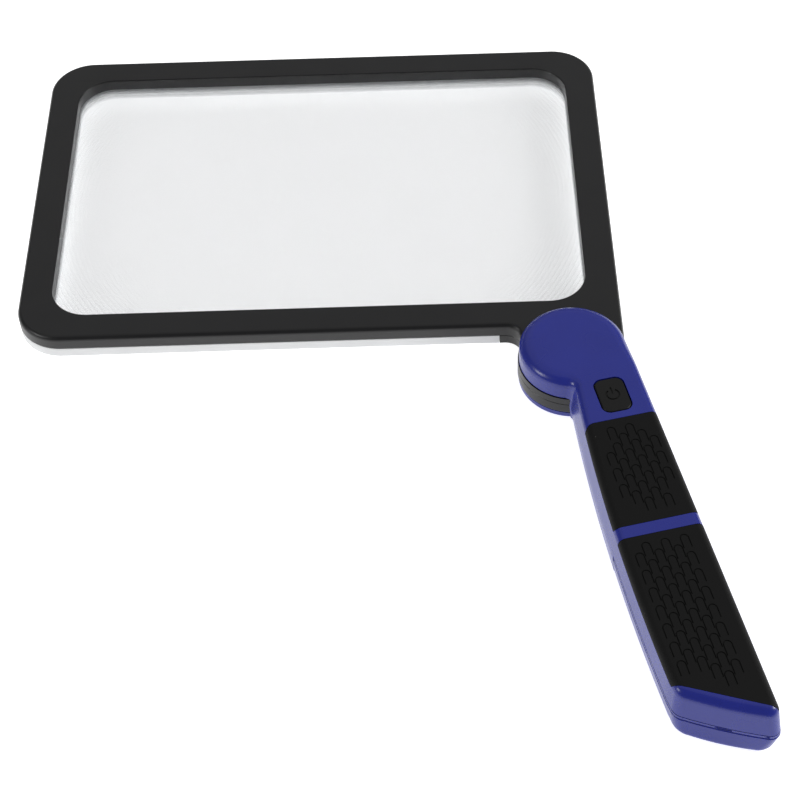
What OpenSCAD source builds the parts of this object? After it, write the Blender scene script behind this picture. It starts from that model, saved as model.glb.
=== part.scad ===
// Folding page magnifier: a rectangular sheet lens in a lit frame, on a
// battery handle that folds along the frame's near edge. Millimetres.
// The origin is on the hinge axis, level with the underside of the handle.
// X runs along the frame's long edge, Y away from the handle, Z up.

/* [Frame] */
// Length of the frame along X
frame_w = 200; // [150:0.5:260]
// Depth of the frame along Y
frame_d = 139.5; // [100:0.5:190]
// Outer corner radius of the frame
frame_corner_r = 15; // [10:0.5:20]
// Width of the bezel around the window
bezel_w = 10.75; // [9.5:0.25:14]
// Corner radius of the window
window_corner_r = 12.4; // [6:0.2:16]
// Height of the black upper shell
shell_h = 4.95; // [4.6:0.05:8]
// Height of the white diffuser tray under it
tray_h = 3.85; // [3.5:0.05:6]
// Wall of the frame shells
frame_wall = 1.6; // [1.2:0.1:2]
// Thickness of the frame's top and bottom plates
frame_plate = 1.5; // [1.2:0.1:1.6]
// Radius of the rounded upper edge
frame_edge_r = 1; // [0.6:0.1:1.2]

/* [Lens] */
// Thickness of the sheet lens
lens_t = 1.6; // [1:0.1:2]
// How far the bezel laps over the lens on each side
lens_lap = 0.8; // [0.5:0.1:1.2]

/* [Hinge] */
// Radius of the round lug on the frame's corner
lug_r = 17.6; // [15:0.1:20]
// Distance from the frame's near edge to the hinge axis
pivot_drop = 13.4; // [12:0.1:15]
// Hollow radius where the near edge runs into the lug
lug_fillet_r = 5; // [3:0.1:5.5]
// How deep the handle's disc sits in the frame's top
recess_depth = 2.3; // [1.5:0.1:2.6]
// Radius of the hinge post
post_r = 4.95; // [4:0.05:6]
// Radial clearance of the post in its bush
post_fit = 0.05; // [0.03:0.01:0.1]
// Gap between the sliding faces of the hinge
hinge_gap = 0.3; // [0.2:0.05:0.5]
// Angle of the open handle from square to the frame
open_angle = 12.2; // [0:0.1:20]

/* [Handle] */
// Height of the handle
handle_h = 17.3; // [16.8:0.1:22]
// Length from the hinge axis to the middle of the end's foot
handle_l = 144.3; // [141:0.5:172]
// Slant of the end face
end_slant = 29; // [0:0.5:32]
// How far the end leans in from the foot up to the top
end_lean = 3.8; // [0:0.1:4.5]
// Bulge of the end face
end_bulge = 0.5; // [0:0.1:2]
// Half width at the fullest point of the left side
belly_w = 10.65; // [10.4:0.05:12]
// Distance of that fullest point from the hinge axis
belly_at = 105; // [95:1:115]
// Sweep radius of the left side
side_sweep_r = 717; // [600:1:1200]
// Corner radius of the end
end_corner_r = 3; // [2:0.5:6]
// Radius of the rounded top edge
handle_edge_r = 2.6; // [1.5:0.1:2.8]
// How far the arm's right side stands out past the disc
side_flare = 0.7; // [0:0.1:1]
// Radius of the rounded bottom edge
handle_foot_r = 1.2; // [0.6:0.1:1.4]
// Wall of the handle shells
handle_wall = 2; // [1.6:0.1:2.1]
// How far the sides lean in from the parting line up to the top
side_draft = 0.9; // [0:0.1:1]
// How far the sides lean in from the parting line down to the foot
foot_draft = 0.7; // [0:0.1:0.8]
// Thickness of the disc under the lug
low_disc_t = 2.4; // [2.2:0.1:2.6]

/* [Grips] */
// Thickness of the rubber grips
grip_t = 1.2; // [0.8:0.1:1.4]
// Where the front grip starts
grip_start = 34.2; // [33.5:0.1:38]
// Where the front grip ends
grip_mid = 74.6; // [70:0.1:78]
// Width of the band between the grips
band_w = 4.4; // [3:0.1:8]
// Width of the bare strip at the end of the handle
end_strip = 2.6; // [2:0.1:8]
// Height of the grips' lower edge on the handle's sides
grip_skirt_z = 15.2; // [14.7:0.1:15.6]

/* [Power button] */
// Length of the button along the handle
button_l = 13.4; // [10:0.1:13.6]
// Width of the button across the handle
button_w = 9.4; // [8:0.1:11]
// Distance from the hinge axis to the button's middle
button_at = 24.5; // [24.2:0.1:25.5]
// Offset of the button from the handle's centre line
button_side = 5.8; // [5:0.1:6.6]
// Gap around the button
button_gap = 0.35; // [0.25:0.05:0.5]
// Travel of the button
button_travel = 0.5; // [0.3:0.1:0.8]

/* [Batteries] */
// Diameter of an AAA battery
cell_d = 10.5; // [10.5:0.1:10.5]
// Length of an AAA battery
cell_l = 44.5; // [44.5:0.1:44.5]
// Compressed length of a battery spring
spring_l = 4; // [3:0.1:4.4]
// Where the battery door starts
door_at = 78.4; // [78.4:0.1:79]
// Height of the battery door
door_h = 7; // [5.5:0.1:8]
// Radius of the battery door's rounded bottom edge
door_foot_r = 2.4; // [0.6:0.1:2.6]
// Gap around the battery door
door_gap = 0.35; // [0.25:0.05:0.5]

/* [Lamps] */
// Lamps on each light board
lamp_count = 6; // [3:1:10]
// Width of a light board
board_w = 4.6; // [4:0.1:5]
// Thickness of the circuit boards
board_t = 1; // [0.8:0.1:1.2]

/* [Hidden] */

$fn = 96;
CUT = 1;                    // how far a cutter runs past a face

// levels
frame_z = low_disc_t + hinge_gap;
shell_z = frame_z + tray_h;
frame_top = shell_z + shell_h;
lug_top = frame_top - recess_depth;
disc_z = lug_top + hinge_gap;
lens_z = shell_z - 0.9;
lip_z = lens_z + lens_t;
ceiling_z = handle_h - grip_t - handle_wall;

// frame outline
frame_x = lug_r - frame_w;
frame_y = pivot_drop;
window_w = frame_w - 2 * bezel_w;
window_d = frame_d - 2 * bezel_w;
channel_w = bezel_w - 2 * frame_wall;
channel_mid = frame_wall + channel_w / 2;
fillet_y = pivot_drop - lug_fillet_r;
fillet_x = -sqrt(pow(lug_r + lug_fillet_r, 2) - fillet_y * fillet_y);
cover_reach = 40.4;         // corner cover along the near edge
cover_rise = 24;            // corner cover along the right-hand edge
cover_gap = 0.1;

// hinge
disc_r = lug_r - 0.3;
disc_edge_r = 3;
recess_r = disc_r + 0.35;
slot_r = lug_r + 0.4;
bush_r = post_r + post_fit;
bush_wall = 2;
washer_r = 9;
washer_t = hinge_gap - 0.05;
fold_angle = 90 + open_angle;
peg_r = 1.2;
peg_ring_r = 12;
peg_at = 45;                // bearing of the stop peg at rest
peg_gap = 0.3;
stop_w = 1.6;
lead_ring_r = 11;           // the lead crosses the hinge on this radius
lead_at = 265;              // bearing of the handle's lead at the hinge
lead_slot_w = 3;
lead_w = 2.2;               // flat twin lead, standing on its edge
lead_t = 0.9;
lead_r = 0.9;
lead_bearing = lead_at + open_angle;

// handle outline
right_x = disc_r + side_flare;
flare_l = 14;               // the arm widens over this length from the hinge axis
neck_r = 3;
sweep_c = [side_sweep_r - belly_w, -belly_at];
sweep_d = norm(sweep_c);
neck_a = disc_r + neck_r;
neck_b = side_sweep_r + neck_r;
neck_t = (neck_a * neck_a - neck_b * neck_b + sweep_d * sweep_d) / (2 * sweep_d);
neck_h = sqrt(neck_a * neck_a - neck_t * neck_t);
sweep_e = sweep_c / sweep_d;
neck_c = neck_t * sweep_e + neck_h * [sweep_e[1], -sweep_e[0]];
neck_foot = sweep_c + (neck_c - sweep_c) * side_sweep_r / neck_b;
end_skew = tan(end_slant);

// handle inside
cover_fit = 0.15;
cover_end = door_at - door_gap;
slot_wall_r = slot_r + handle_wall;
disc_wall = handle_wall + 0.3;
screw_r = 1;
pilot_fit = 0.05;
boss_r = 2.6;
handle_screw_at = [[-1.5, 38], [11, 58], [-3, 66]];
plate_t = 0.5;
bay_at = 80.6;              // face of the front battery contacts
bay_end = bay_at + 2 * plate_t + spring_l + cell_l;
rib_t = 1.4;
cell_z = ceiling_z - 0.3 - cell_d / 2;
cell_gap = 0.6;
cell_mid = 3.6;
cell_x = [cell_mid - (cell_d + cell_gap) / 2, cell_mid + (cell_d + cell_gap) / 2];
bay_left = cell_x[0] - cell_d / 2 - 0.4;
bay_w = cell_x[1] - cell_x[0] + cell_d + 0.8;
rib_z = 4;
nub_r = 1.9;
nub_l = 1;

// switch
tact_w = 6;
tact_h = 3.5;
plunger_r = 1.7;
plunger_h = 0.8;
button_top = handle_h + 0.1;
button_flange = 0.9;
flange_t = 0.8;
flange_z = ceiling_z + 0.5;
tact_z = flange_z - 1.4 - tact_h;
switch_board_l = 11;
switch_board_at = slot_wall_r + 0.6;
post_side = 8.2;            // posts of the switch board, each side of the button

function left_x(u) = sweep_c[0] - sqrt(pow(side_sweep_r, 2) - pow(u - belly_at, 2));
function end_y(v, z) = -(handle_l - end_bulge - end_lean * z / handle_h + (v - cell_mid) * end_skew);

// ---- outlines ----

// points along an arc of n steps
function arc(c, r, a0, a1, n) =
    [for (i = [0:n]) let (a = a0 + (a1 - a0) * i / n) c + r * [cos(a), sin(a)]];

module rounded_square(w, d, r) {
    translate([r, 0]) square([w - 2 * r, d]);
    translate([0, r]) square([w, d - 2 * r]);
    for (x = [r, w - r], y = [r, d - r]) translate([x, y]) circle(r);
}

// the frame seen from above with its lug, drawn in by d all round
module frame_outline(d) {
    translate([frame_x + d, frame_y + d])
        rounded_square(frame_w - 2 * d, frame_d - 2 * d, frame_corner_r - d);
    circle(lug_r - d);
    polygon(concat(
        [[0, 0]],
        arc([fillet_x, fillet_y], lug_fillet_r + d, atan2(-fillet_y, -fillet_x), 90, 16),
        [[fillet_x, frame_y + frame_corner_r], [lug_r - d, frame_y + frame_corner_r],
            [lug_r - d, 0]]));
}

// the window, grown by g all round
module window_outline(g) {
    translate([frame_x + bezel_w - g, frame_y + bezel_w - g])
        rounded_square(window_w + 2 * g, window_d + 2 * g, window_corner_r + g);
}

// the corner that the hinge cover closes, grown by g
module corner_area(g) {
    translate([lug_r - cover_reach - g, -lug_r - 1])
        square([cover_reach + g + 1, lug_r + 1 + pivot_drop + cover_rise + g]);
}

// a round-edged disc standing on z = 0
module edged_disc(r, h, edge) {
    rotate_extrude() {
        square([r - edge, h]);
        square([r, h - edge]);
        translate([r - edge, h - edge]) intersection() {
            circle(edge);
            square(edge);
        }
    }
}

module ring(r_out, r_in, h) {
    difference() {
        cylinder(r = r_out, h = h);
        translate([0, 0, -CUT]) cylinder(r = r_in, h = h + 2 * CUT);
    }
}

// middle of an end corner of radius r, x from the handle's centre line
function corner_c(x, r, z) = [x, end_y(x, z) + r / cos(end_slant)];

// the handle's arm seen from above at height z, drawn in by d all round
// and by s more on its two sides
module arm_outline(d, s = 0, z = 0) {
    corner_r = max(end_corner_r, d + 0.05);
    r = corner_r - d;
    lead_in = 270 - end_slant;
    outward = [cos(lead_in), sin(lead_in)];
    left_c = corner_c(left_x(handle_l - 8) + s + corner_r, corner_r, z);
    right_c = corner_c(right_x - s - corner_r, corner_r, z);
    p0 = left_c + r * outward;
    p1 = right_c + r * outward;
    polygon(concat(
        [[disc_r - s - d, 0]],
        [for (u = [0:12:-left_c[1] - 2]) [left_x(u) + s + d, -u]],
        arc(left_c, r, 180, lead_in - 6, 6),
        [for (t = [0.1:0.1:0.9]) p0 + t * (p1 - p0) + 4 * end_bulge * t * (1 - t) * outward],
        arc(right_c, r, lead_in + 6, 360, 8),
        [[right_x - s - d, -flare_l]]));
}

// how far the sides lean in at a height
function flank(z) = z < door_h ? foot_draft * (1 - z / door_h)
    : side_draft * (z - door_h) / (handle_h - door_h);

// the arm with its leaning sides and rounded edges, g under the outer surface
module arm_block(g, foot = handle_foot_r) {
    r = handle_edge_r;
    hull() {
        for (a = [0:30:90]) {
            z = handle_h - g - r + r * sin(a);
            translate([0, 0, z - 0.01]) linear_extrude(0.01)
                arm_outline(g + r * (1 - cos(a)), flank(handle_h - r), z);
            translate([0, 0, foot * (1 - sin(a))]) linear_extrude(0.01)
                arm_outline(g + foot * (1 - cos(a)), foot_draft);
        }
        translate([0, 0, door_h]) linear_extrude(0.01) arm_outline(g, 0, door_h);
    }
}

// the hollow corner between the disc and the arm
module neck_outline(d) {
    difference() {
        polygon([[0, 0], neck_c, neck_foot, [0, neck_foot[1]]]);
        translate(neck_c) circle(neck_r + d);
    }
}

// everything between two distances along the handle
module along(u0, u1, z0 = -CUT, z1 = 30) {
    translate([-40, -u1, z0]) cube([80, u1 - u0, z1 - z0]);
}

// turns a piece drawn with the handle along -Y to its open angle
module on_handle() { rotate([0, 0, open_angle]) children(); }

// a flat twin lead standing on its edge along a route of straight runs
module flat_lead(route, z0, z1) {
    translate([0, 0, z0]) linear_extrude(z1 - z0) {
        for (i = [0:len(route) - 2]) {
            step = route[i + 1] - route[i];
            translate(route[i]) rotate(atan2(step[1], step[0]))
                translate([0, -lead_t / 2]) square([norm(step), lead_t]);
        }
        for (p = route) translate(p) circle(lead_t / 2 + 0.04, $fn = 24);
    }
}

// a pan-head screw pointing up, its head's face at z = 0
module screw(r, length, head_r, head_h) {
    difference() {
        union() {
            cylinder(r = head_r, h = head_h, $fn = 48);
            cylinder(r = r, h = length, $fn = 32);
        }
        for (a = [0, 90]) rotate([0, 0, a])
            translate([-head_r * 0.6, -0.25, -CUT]) cube([head_r * 1.2, 0.5, CUT + head_h * 0.5]);
    }
}

// ---- frame ----

wall_boss = frame_wall + 1.6;    // bosses against the outer wall leave the leads room
corner_in = frame_corner_r - (frame_corner_r - channel_mid) * cos(45);
frame_screw_at = [
    [frame_x + corner_in, frame_y + corner_in],
    [frame_x + corner_in, frame_y + frame_d - corner_in],
    [frame_x + frame_w - corner_in, frame_y + frame_d - corner_in],
    [frame_x + wall_boss, frame_y + frame_d / 2],
    [lug_r - wall_boss, frame_y + frame_d / 2]];
cover_screw_at = [
    [lug_r - cover_reach + 5, frame_y + wall_boss],
    [lug_r - wall_boss, frame_y + cover_rise - 4.5]];
frame_head_r = 1.9;
frame_head_h = 1.1;
frame_head_sink = 0.3;
frame_screw_l = frame_top - frame_plate - 0.8 - frame_z - frame_head_sink;
frame_boss_r = 2.3;

module screw_bosses(places, z0, z1, r) {
    for (p = places) translate([p[0], p[1], z0]) cylinder(r = r, h = z1 - z0, $fn = 48);
}

module screw_holes(places, z0, z1) {
    for (p = places) translate([p[0], p[1], z0])
        cylinder(r = screw_r + pilot_fit, h = z1 - z0, $fn = 32);
}

module head_pockets(places, z) {
    for (p = places) translate([p[0], p[1], z - CUT])
        cylinder(r = frame_head_r + 0.2, h = CUT + frame_head_sink + frame_head_h, $fn = 48);
}

module lead_slot() {
    reach = 2 * lug_r;
    spare = 8;
    intersection() {
        difference() {
            circle(lead_ring_r + lead_slot_w / 2);
            circle(lead_ring_r - lead_slot_w / 2);
        }
        polygon(concat([[0, 0]],
            arc([0, 0], reach, lead_bearing - fold_angle - spare, lead_bearing + spare, 4)));
    }
}

module frame_upper_shell() {
    color([0.2, 0.2, 0.21]) difference() {
        union() {
            difference() {
                union() {
                    translate([0, 0, shell_z])
                        linear_extrude(shell_h - frame_edge_r) frame_outline(0);
                    for (a = [0:30:60]) {
                        z = frame_top - frame_edge_r + frame_edge_r * sin(a);
                        translate([0, 0, z]) linear_extrude(frame_edge_r * (sin(a + 30) - sin(a)))
                            frame_outline(frame_edge_r * (1 - cos(a + 15)));
                    }
                }
                // channel for the light boards
                translate([0, 0, shell_z - CUT])
                    linear_extrude(CUT + shell_h - frame_plate) difference() {
                        frame_outline(frame_wall);
                        window_outline(frame_wall);
                    }
                // seat for the handle's disc
                translate([0, 0, lug_top]) cylinder(r = recess_r, h = 10);
            }
            // floor of the seat, its bush and its stop peg
            intersection() {
                translate([0, 0, lug_top - frame_plate]) cylinder(r = recess_r + 1, h = frame_plate);
                translate([0, 0, 0]) linear_extrude(30) frame_outline(0.2);
            }
            intersection() {
                translate([0, 0, lug_top - 0.1])
                    ring(recess_r + frame_wall, recess_r, frame_top - lug_top - 0.8);
                linear_extrude(30) difference() {
                    frame_outline(frame_wall / 2);
                    translate([-40, -40]) square([80, 40 + pivot_drop / 2]);
                }
            }
            translate([0, 0, shell_z]) cylinder(r = bush_r + bush_wall, h = lug_top - shell_z);
            rotate([0, 0, peg_at]) translate([peg_ring_r, 0, lug_top - 0.5])
                cylinder(r = peg_r, h = 0.5 + hinge_gap + 1.8, $fn = 32);
            screw_bosses(concat(frame_screw_at, cover_screw_at), shell_z, frame_top - 0.5,
                frame_boss_r);
        }
        // window and lens rebate
        translate([0, 0, shell_z - CUT]) linear_extrude(20) window_outline(0);
        translate([0, 0, shell_z - CUT])
            linear_extrude(lip_z - shell_z + CUT) window_outline(lens_lap + 0.15);
        // hinge bore
        translate([0, 0, shell_z - CUT]) cylinder(r = bush_r, h = 20);
        // slot that the lead swings in
        translate([0, 0, lug_top - frame_plate - CUT])
            linear_extrude(frame_plate + 2 * CUT) lead_slot();
        screw_holes(concat(frame_screw_at, cover_screw_at), shell_z - CUT,
            frame_top - frame_plate - 0.3);
    }
}

module diffuser_tray() {
    color([0.92, 0.93, 0.94]) difference() {
        union() {
            difference() {
                translate([0, 0, frame_z]) linear_extrude(tray_h) frame_outline(0);
                translate([0, 0, frame_z + frame_plate]) linear_extrude(tray_h) difference() {
                    frame_outline(frame_wall);
                    window_outline(frame_wall);
                }
            }
            screw_bosses(frame_screw_at, frame_z, shell_z, frame_boss_r + 0.3);
        }
        translate([0, 0, frame_z - CUT]) linear_extrude(20) window_outline(0);
        translate([0, 0, lens_z]) linear_extrude(20) window_outline(lens_lap + 0.15);
        translate([0, 0, frame_z - CUT]) linear_extrude(20) corner_area(cover_gap);
        screw_holes(frame_screw_at, frame_z - CUT, shell_z + CUT);
        head_pockets(frame_screw_at, frame_z);
    }
}

module hinge_corner_cover() {
    color([0.2, 0.2, 0.21]) difference() {
        union() {
            difference() {
                translate([0, 0, frame_z]) linear_extrude(tray_h) intersection() {
                    frame_outline(0);
                    corner_area(0);
                }
                translate([0, 0, frame_z + frame_plate]) linear_extrude(tray_h)
                    difference() {
                        frame_outline(frame_wall);
                        window_outline(frame_wall);
                    }
            }
            translate([0, 0, frame_z]) cylinder(r = bush_r + bush_wall, h = tray_h);
            screw_bosses(cover_screw_at, frame_z, shell_z, frame_boss_r + 0.3);
        }
        translate([0, 0, frame_z - CUT]) linear_extrude(20) window_outline(0);
        translate([0, 0, lens_z]) linear_extrude(20) window_outline(lens_lap + 0.15);
        translate([0, 0, frame_z - CUT]) cylinder(r = bush_r, h = 20);
        screw_holes(cover_screw_at, frame_z - CUT, shell_z + CUT);
        head_pockets(cover_screw_at, frame_z);
    }
}

module sheet_lens() {
    color([0.85, 0.9, 0.92, 0.4]) translate([0, 0, lens_z])
        linear_extrude(lens_t) window_outline(lens_lap);
}

board_z = frame_top - frame_plate - board_t;
board_x0 = frame_x + frame_corner_r + 6;
far_board_l = frame_w - 2 * frame_corner_r - 12;
near_board_l = frame_w - frame_corner_r - cover_reach - 14;
far_board_y = frame_y + frame_d - channel_mid - board_w / 2;
near_board_y = frame_y + channel_mid - board_w / 2;
lamp_l = 3.5;
lamp_w = 2.8;
lamp_h = 0.8;

module light_board_far() {
    color([0.1, 0.35, 0.2]) translate([board_x0, far_board_y, board_z])
        cube([far_board_l, board_w, board_t]);
}

module light_board_near() {
    color([0.1, 0.35, 0.2]) translate([board_x0, near_board_y, board_z])
        cube([near_board_l, board_w, board_t]);
}

module lamp_row(length, y) {
    pitch = length / lamp_count;
    for (i = [0:lamp_count - 1])
        translate([board_x0 + pitch * (i + 0.5) - lamp_l / 2, y + (board_w - lamp_w) / 2,
            board_z - lamp_h]) cube([lamp_l, lamp_w, lamp_h]);
}

module lamps() {
    color([0.98, 0.9, 0.5]) {
        lamp_row(far_board_l, far_board_y);
        lamp_row(near_board_l, near_board_y);
    }
}

// twin lead up through the hinge slot, with a branch to each light board
module frame_leads() {
    low = frame_z + frame_plate + 0.1;
    high = low + lead_w;
    entry = lead_ring_r * [cos(lead_bearing), sin(lead_bearing)];
    skirt = bezel_w - frame_wall - 1.2;          // route beside the window's wall
    right = lug_r - skirt;
    near = frame_y + skirt;
    far = frame_y + frame_d - skirt;
    near_end = board_x0 + near_board_l - 1.5;
    far_end = board_x0 + far_board_l - 1.5;
    turn = window_corner_r;
    color([0.12, 0.12, 0.13]) {
        translate([entry[0], entry[1], low]) cylinder(r = lead_r, h = lug_top - 0.2 - low, $fn = 24);
        flat_lead([entry, [-10, -5], [-10, near], [near_end, near]], low, high);
        flat_lead([entry, [10.5, -4.5], [12, near - 4], [right, near + 8],
            [right, far - turn - 1], [right - turn * 0.3, far - turn * 0.3], [far_end, far]],
            low, high);
        translate([near_end, near, low]) cylinder(r = lead_r, h = board_z - low, $fn = 24);
        translate([far_end, far, low]) cylinder(r = lead_r, h = board_z - low, $fn = 24);
    }
}

module frame_screws() {
    color([0.7, 0.7, 0.72]) for (p = frame_screw_at)
        translate([p[0], p[1], frame_z + frame_head_sink])
            screw(screw_r, frame_screw_l, frame_head_r, frame_head_h);
}

module corner_cover_screws() {
    color([0.25, 0.25, 0.27]) for (p = cover_screw_at)
        translate([p[0], p[1], frame_z + frame_head_sink])
            screw(screw_r, frame_screw_l, frame_head_r, frame_head_h);
}

// ---- hinge ----

module upper_wave_washer() {
    color([0.75, 0.75, 0.78]) translate([0, 0, lug_top + 0.025])
        ring(washer_r, post_r + 0.3, washer_t);
}

module lower_hinge_washer() {
    color([0.9, 0.9, 0.88]) translate([0, 0, low_disc_t + 0.025])
        ring(washer_r, post_r + 0.3, washer_t);
}

hinge_screw_r = 1.5;
hinge_head_r = 3.4;
hinge_head_h = 0.9;
hinge_cap_r = 4.2;
hinge_cap_t = 0.6;

module hinge_screw() {
    color([0.7, 0.7, 0.72]) translate([0, 0, hinge_cap_t])
        screw(hinge_screw_r, ceiling_z - 1.5 - hinge_cap_t, hinge_head_r, hinge_head_h);
}

// plug that hides the hinge screw, flush with the handle's underside
module hinge_cap() {
    color([0.2, 0.22, 0.55]) cylinder(r = hinge_cap_r, h = hinge_cap_t);
}

// ---- handle ----

stop_turn = asin((peg_r + peg_gap + stop_w / 2) / peg_ring_r);

module button_hole(g) {
    translate([button_side - button_w / 2 - g, -button_at - button_l / 2 - g])
        rounded_square(button_w + 2 * g, button_l + 2 * g, 2.6 + g);
}

module handle_skin() {
    edged_disc(disc_r, handle_h, disc_edge_r);
    arm_block(0);
    for (a = [0:30:60])
        linear_extrude(handle_h - handle_edge_r * (1 - sin(a)))
            neck_outline(handle_edge_r * (1 - cos(a)));
}

module grip_area(u0, u1) {
    translate([0, 0, grip_skirt_z]) along(u0, u1, 0, 10);
}

// the rear grip's area, which stops short of the slanted end
module rear_grip_area(strip) {
    intersection() {
        grip_area(grip_mid + band_w, 200);
        linear_extrude(40) polygon([
            [-20, 0], [30, 0],
            [30, end_y(30, handle_h) + strip / cos(end_slant)],
            [-20, end_y(-20, handle_h) + strip / cos(end_slant)]]);
    }
}

module handle_upper_shell() {
    color([0.2, 0.22, 0.55]) on_handle() difference() {
        union() {
            difference() {
                handle_skin();
                // lug's slot and the hollow of the disc
                translate([0, 0, -CUT]) cylinder(r = slot_r, h = disc_z + CUT);
                translate([0, 0, disc_z - CUT])
                    cylinder(r = disc_r - disc_wall, h = CUT + ceiling_z - disc_z);
                // hollow of the arm
                difference() {
                    translate([0, 0, -CUT]) linear_extrude(CUT + ceiling_z)
                        arm_outline(handle_wall, 0, ceiling_z);
                    translate([0, 0, low_disc_t + 0.1])
                        cylinder(r = slot_wall_r, h = disc_z - low_disc_t);
                }
                // room for the battery door
                along(cover_end, 200, -CUT, door_h + door_gap);
                // rubber seats
                difference() {
                    union() {
                        grip_area(grip_start, grip_mid);
                        rear_grip_area(end_strip);
                    }
                    arm_block(grip_t);
                }
            }
            // hinge post with its shoulder
            translate([0, 0, low_disc_t]) cylinder(r = post_r, h = ceiling_z - low_disc_t + 0.5);
            translate([0, 0, disc_z]) cylinder(r = washer_r - 0.5, h = ceiling_z - disc_z + 0.5);
            // stops for the frame's peg
            intersection() {
                translate([0, 0, disc_z]) cylinder(r = disc_r - 1, h = ceiling_z - disc_z + 0.5);
                for (a = [peg_at - open_angle - stop_turn, peg_at - open_angle + fold_angle + stop_turn])
                    rotate([0, 0, a]) translate([washer_r - 1, -stop_w / 2, disc_z])
                        cube([disc_r, stop_w, handle_h - disc_z]);
            }
            // screw bosses, board posts and battery ribs
            for (p = handle_screw_at) translate([p[0], -p[1], low_disc_t + 0.05])
                cylinder(r = boss_r, h = ceiling_z - low_disc_t, $fn = 48);
            for (x = [-post_side, post_side]) translate([button_side + x, -button_at, tact_z])
                cylinder(r = 1.1, h = ceiling_z - tact_z + 0.3, $fn = 32);
            for (y = [-bay_at, -bay_end - rib_t]) translate([bay_left, y, rib_z])
                cube([bay_w, rib_t, ceiling_z - rib_z + 0.3]);
        }
        // button opening and its flange room
        translate([0, 0, ceiling_z - CUT]) linear_extrude(10) button_hole(button_gap);
        translate([0, 0, ceiling_z - CUT]) linear_extrude(CUT + flange_z + flange_t + 0.1 - ceiling_z)
            button_hole(button_flange + button_gap);
        // screw pilots
        for (p = handle_screw_at) translate([p[0], -p[1], -CUT])
            cylinder(r = screw_r + pilot_fit, h = CUT + 11.5, $fn = 32);
        translate([0, 0, -CUT]) cylinder(r = hinge_screw_r + pilot_fit, h = CUT + ceiling_z, $fn = 32);
    }
}

module handle_lower_cover() {
    color([0.2, 0.22, 0.55]) on_handle() difference() {
        union() {
            translate([0, 0, low_disc_t]) mirror([0, 0, 1]) edged_disc(disc_r, low_disc_t, 1);
            intersection() {
                linear_extrude(low_disc_t) arm_outline(handle_wall + cover_fit);
                along(8, cover_end, 0);
            }
        }
        translate([0, 0, -CUT]) cylinder(r = hinge_screw_r + 0.2, h = 10, $fn = 32);
        translate([0, 0, -CUT])
            cylinder(r = hinge_cap_r + 0.1, h = CUT + hinge_cap_t + hinge_head_h);
        for (p = handle_screw_at) translate([p[0], -p[1], -CUT]) {
            cylinder(r = screw_r + 0.2, h = 10, $fn = 32);
            cylinder(r = 2.2, h = CUT + 1.4, $fn = 48);
        }
    }
}

door_wall = 1.5;

tongue_w = 10;
tongue_l = 4;
tongue_t = 0.6;
tongue_root = 2.4;

module battery_door() {
    tongue_z = low_disc_t + 0.2;
    color([0.2, 0.22, 0.55]) on_handle() {
        difference() {
            intersection() {
                arm_block(0, door_foot_r);
                along(door_at, 200, -CUT, door_h);
            }
            translate([0, 0, door_wall]) linear_extrude(door_h)
                arm_outline(door_wall + foot_draft, 0, door_h);
            // thumb ridges
            for (i = [0:4]) translate([cell_mid - 7, -door_at - 8 - i * 2, -CUT])
                cube([14, 0.8, CUT + 0.4]);
        }
        // tongue over the lower cover, and its root
        translate([cell_mid - tongue_w / 2, -door_at - tongue_root, tongue_z])
            cube([tongue_w, tongue_root + door_gap + tongue_l, tongue_t]);
        translate([cell_mid - tongue_w / 2, -door_at - tongue_root, door_wall - 0.3])
            cube([tongue_w, tongue_root, tongue_z + tongue_t - door_wall + 0.3]);
    }
}

grip_fit = 0.05;

module grip_front() {
    color([0.13, 0.13, 0.13]) on_handle() difference() {
        intersection() {
            arm_block(0);
            grip_area(grip_start + grip_fit, grip_mid - grip_fit);
        }
        arm_block(grip_t);
    }
}

module grip_rear() {
    color([0.13, 0.13, 0.13]) on_handle() difference() {
        intersection() {
            arm_block(0);
            rear_grip_area(end_strip + grip_fit);
        }
        translate([0, 0, grip_skirt_z]) along(0, grip_mid + band_w + grip_fit, -CUT, 10);
        arm_block(grip_t);
    }
}

// ---- switch ----

module power_button() {
    color([0.12, 0.12, 0.12]) on_handle() {
        translate([0, 0, flange_z]) linear_extrude(button_top - flange_z) button_hole(0);
        translate([0, 0, flange_z]) linear_extrude(flange_t) button_hole(button_flange);
        translate([button_side, -button_at, tact_z + tact_h + plunger_h + 0.05])
            cylinder(r = 2, h = flange_z - tact_z - tact_h - plunger_h, $fn = 48);
    }
}

module switch_board() {
    left = left_x(switch_board_at) + handle_wall + 0.3;
    color([0.1, 0.35, 0.2]) on_handle()
        translate([left, -switch_board_at - switch_board_l, tact_z - board_t])
            cube([right_x - handle_wall - 0.3 - left, switch_board_l, board_t]);
}

module tact_switch() {
    color([0.15, 0.15, 0.16]) on_handle() difference() {
        translate([button_side - tact_w / 2, -button_at - tact_w / 2, tact_z])
            cube([tact_w, tact_w, tact_h]);
        translate([button_side, -button_at, tact_z + 1.5])
            cylinder(r = plunger_r + 0.1, h = tact_h, $fn = 48);
    }
}

module switch_plunger() {
    color([0.3, 0.3, 0.32]) on_handle()
        translate([button_side, -button_at, tact_z + 1.6 + button_travel])
            cylinder(r = plunger_r, h = tact_h + plunger_h - 1.6 - button_travel, $fn = 48);
}

// ---- batteries and contacts ----

cell_start = bay_at + plate_t + spring_l;   // spring at the front
cell_front = bay_at + plate_t;              // spring at the rear

// an AAA cell lying along the handle, its nub towards -Y when forward is 1
module cell(x, u0, forward) {
    translate([x, -u0 - (forward ? 0 : cell_l), cell_z])
        rotate([forward ? 90 : -90, 0, 0]) {
            cylinder(d = cell_d, h = cell_l - nub_l, $fn = 64);
            cylinder(r = nub_r, h = cell_l, $fn = 32);
        }
}

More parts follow.
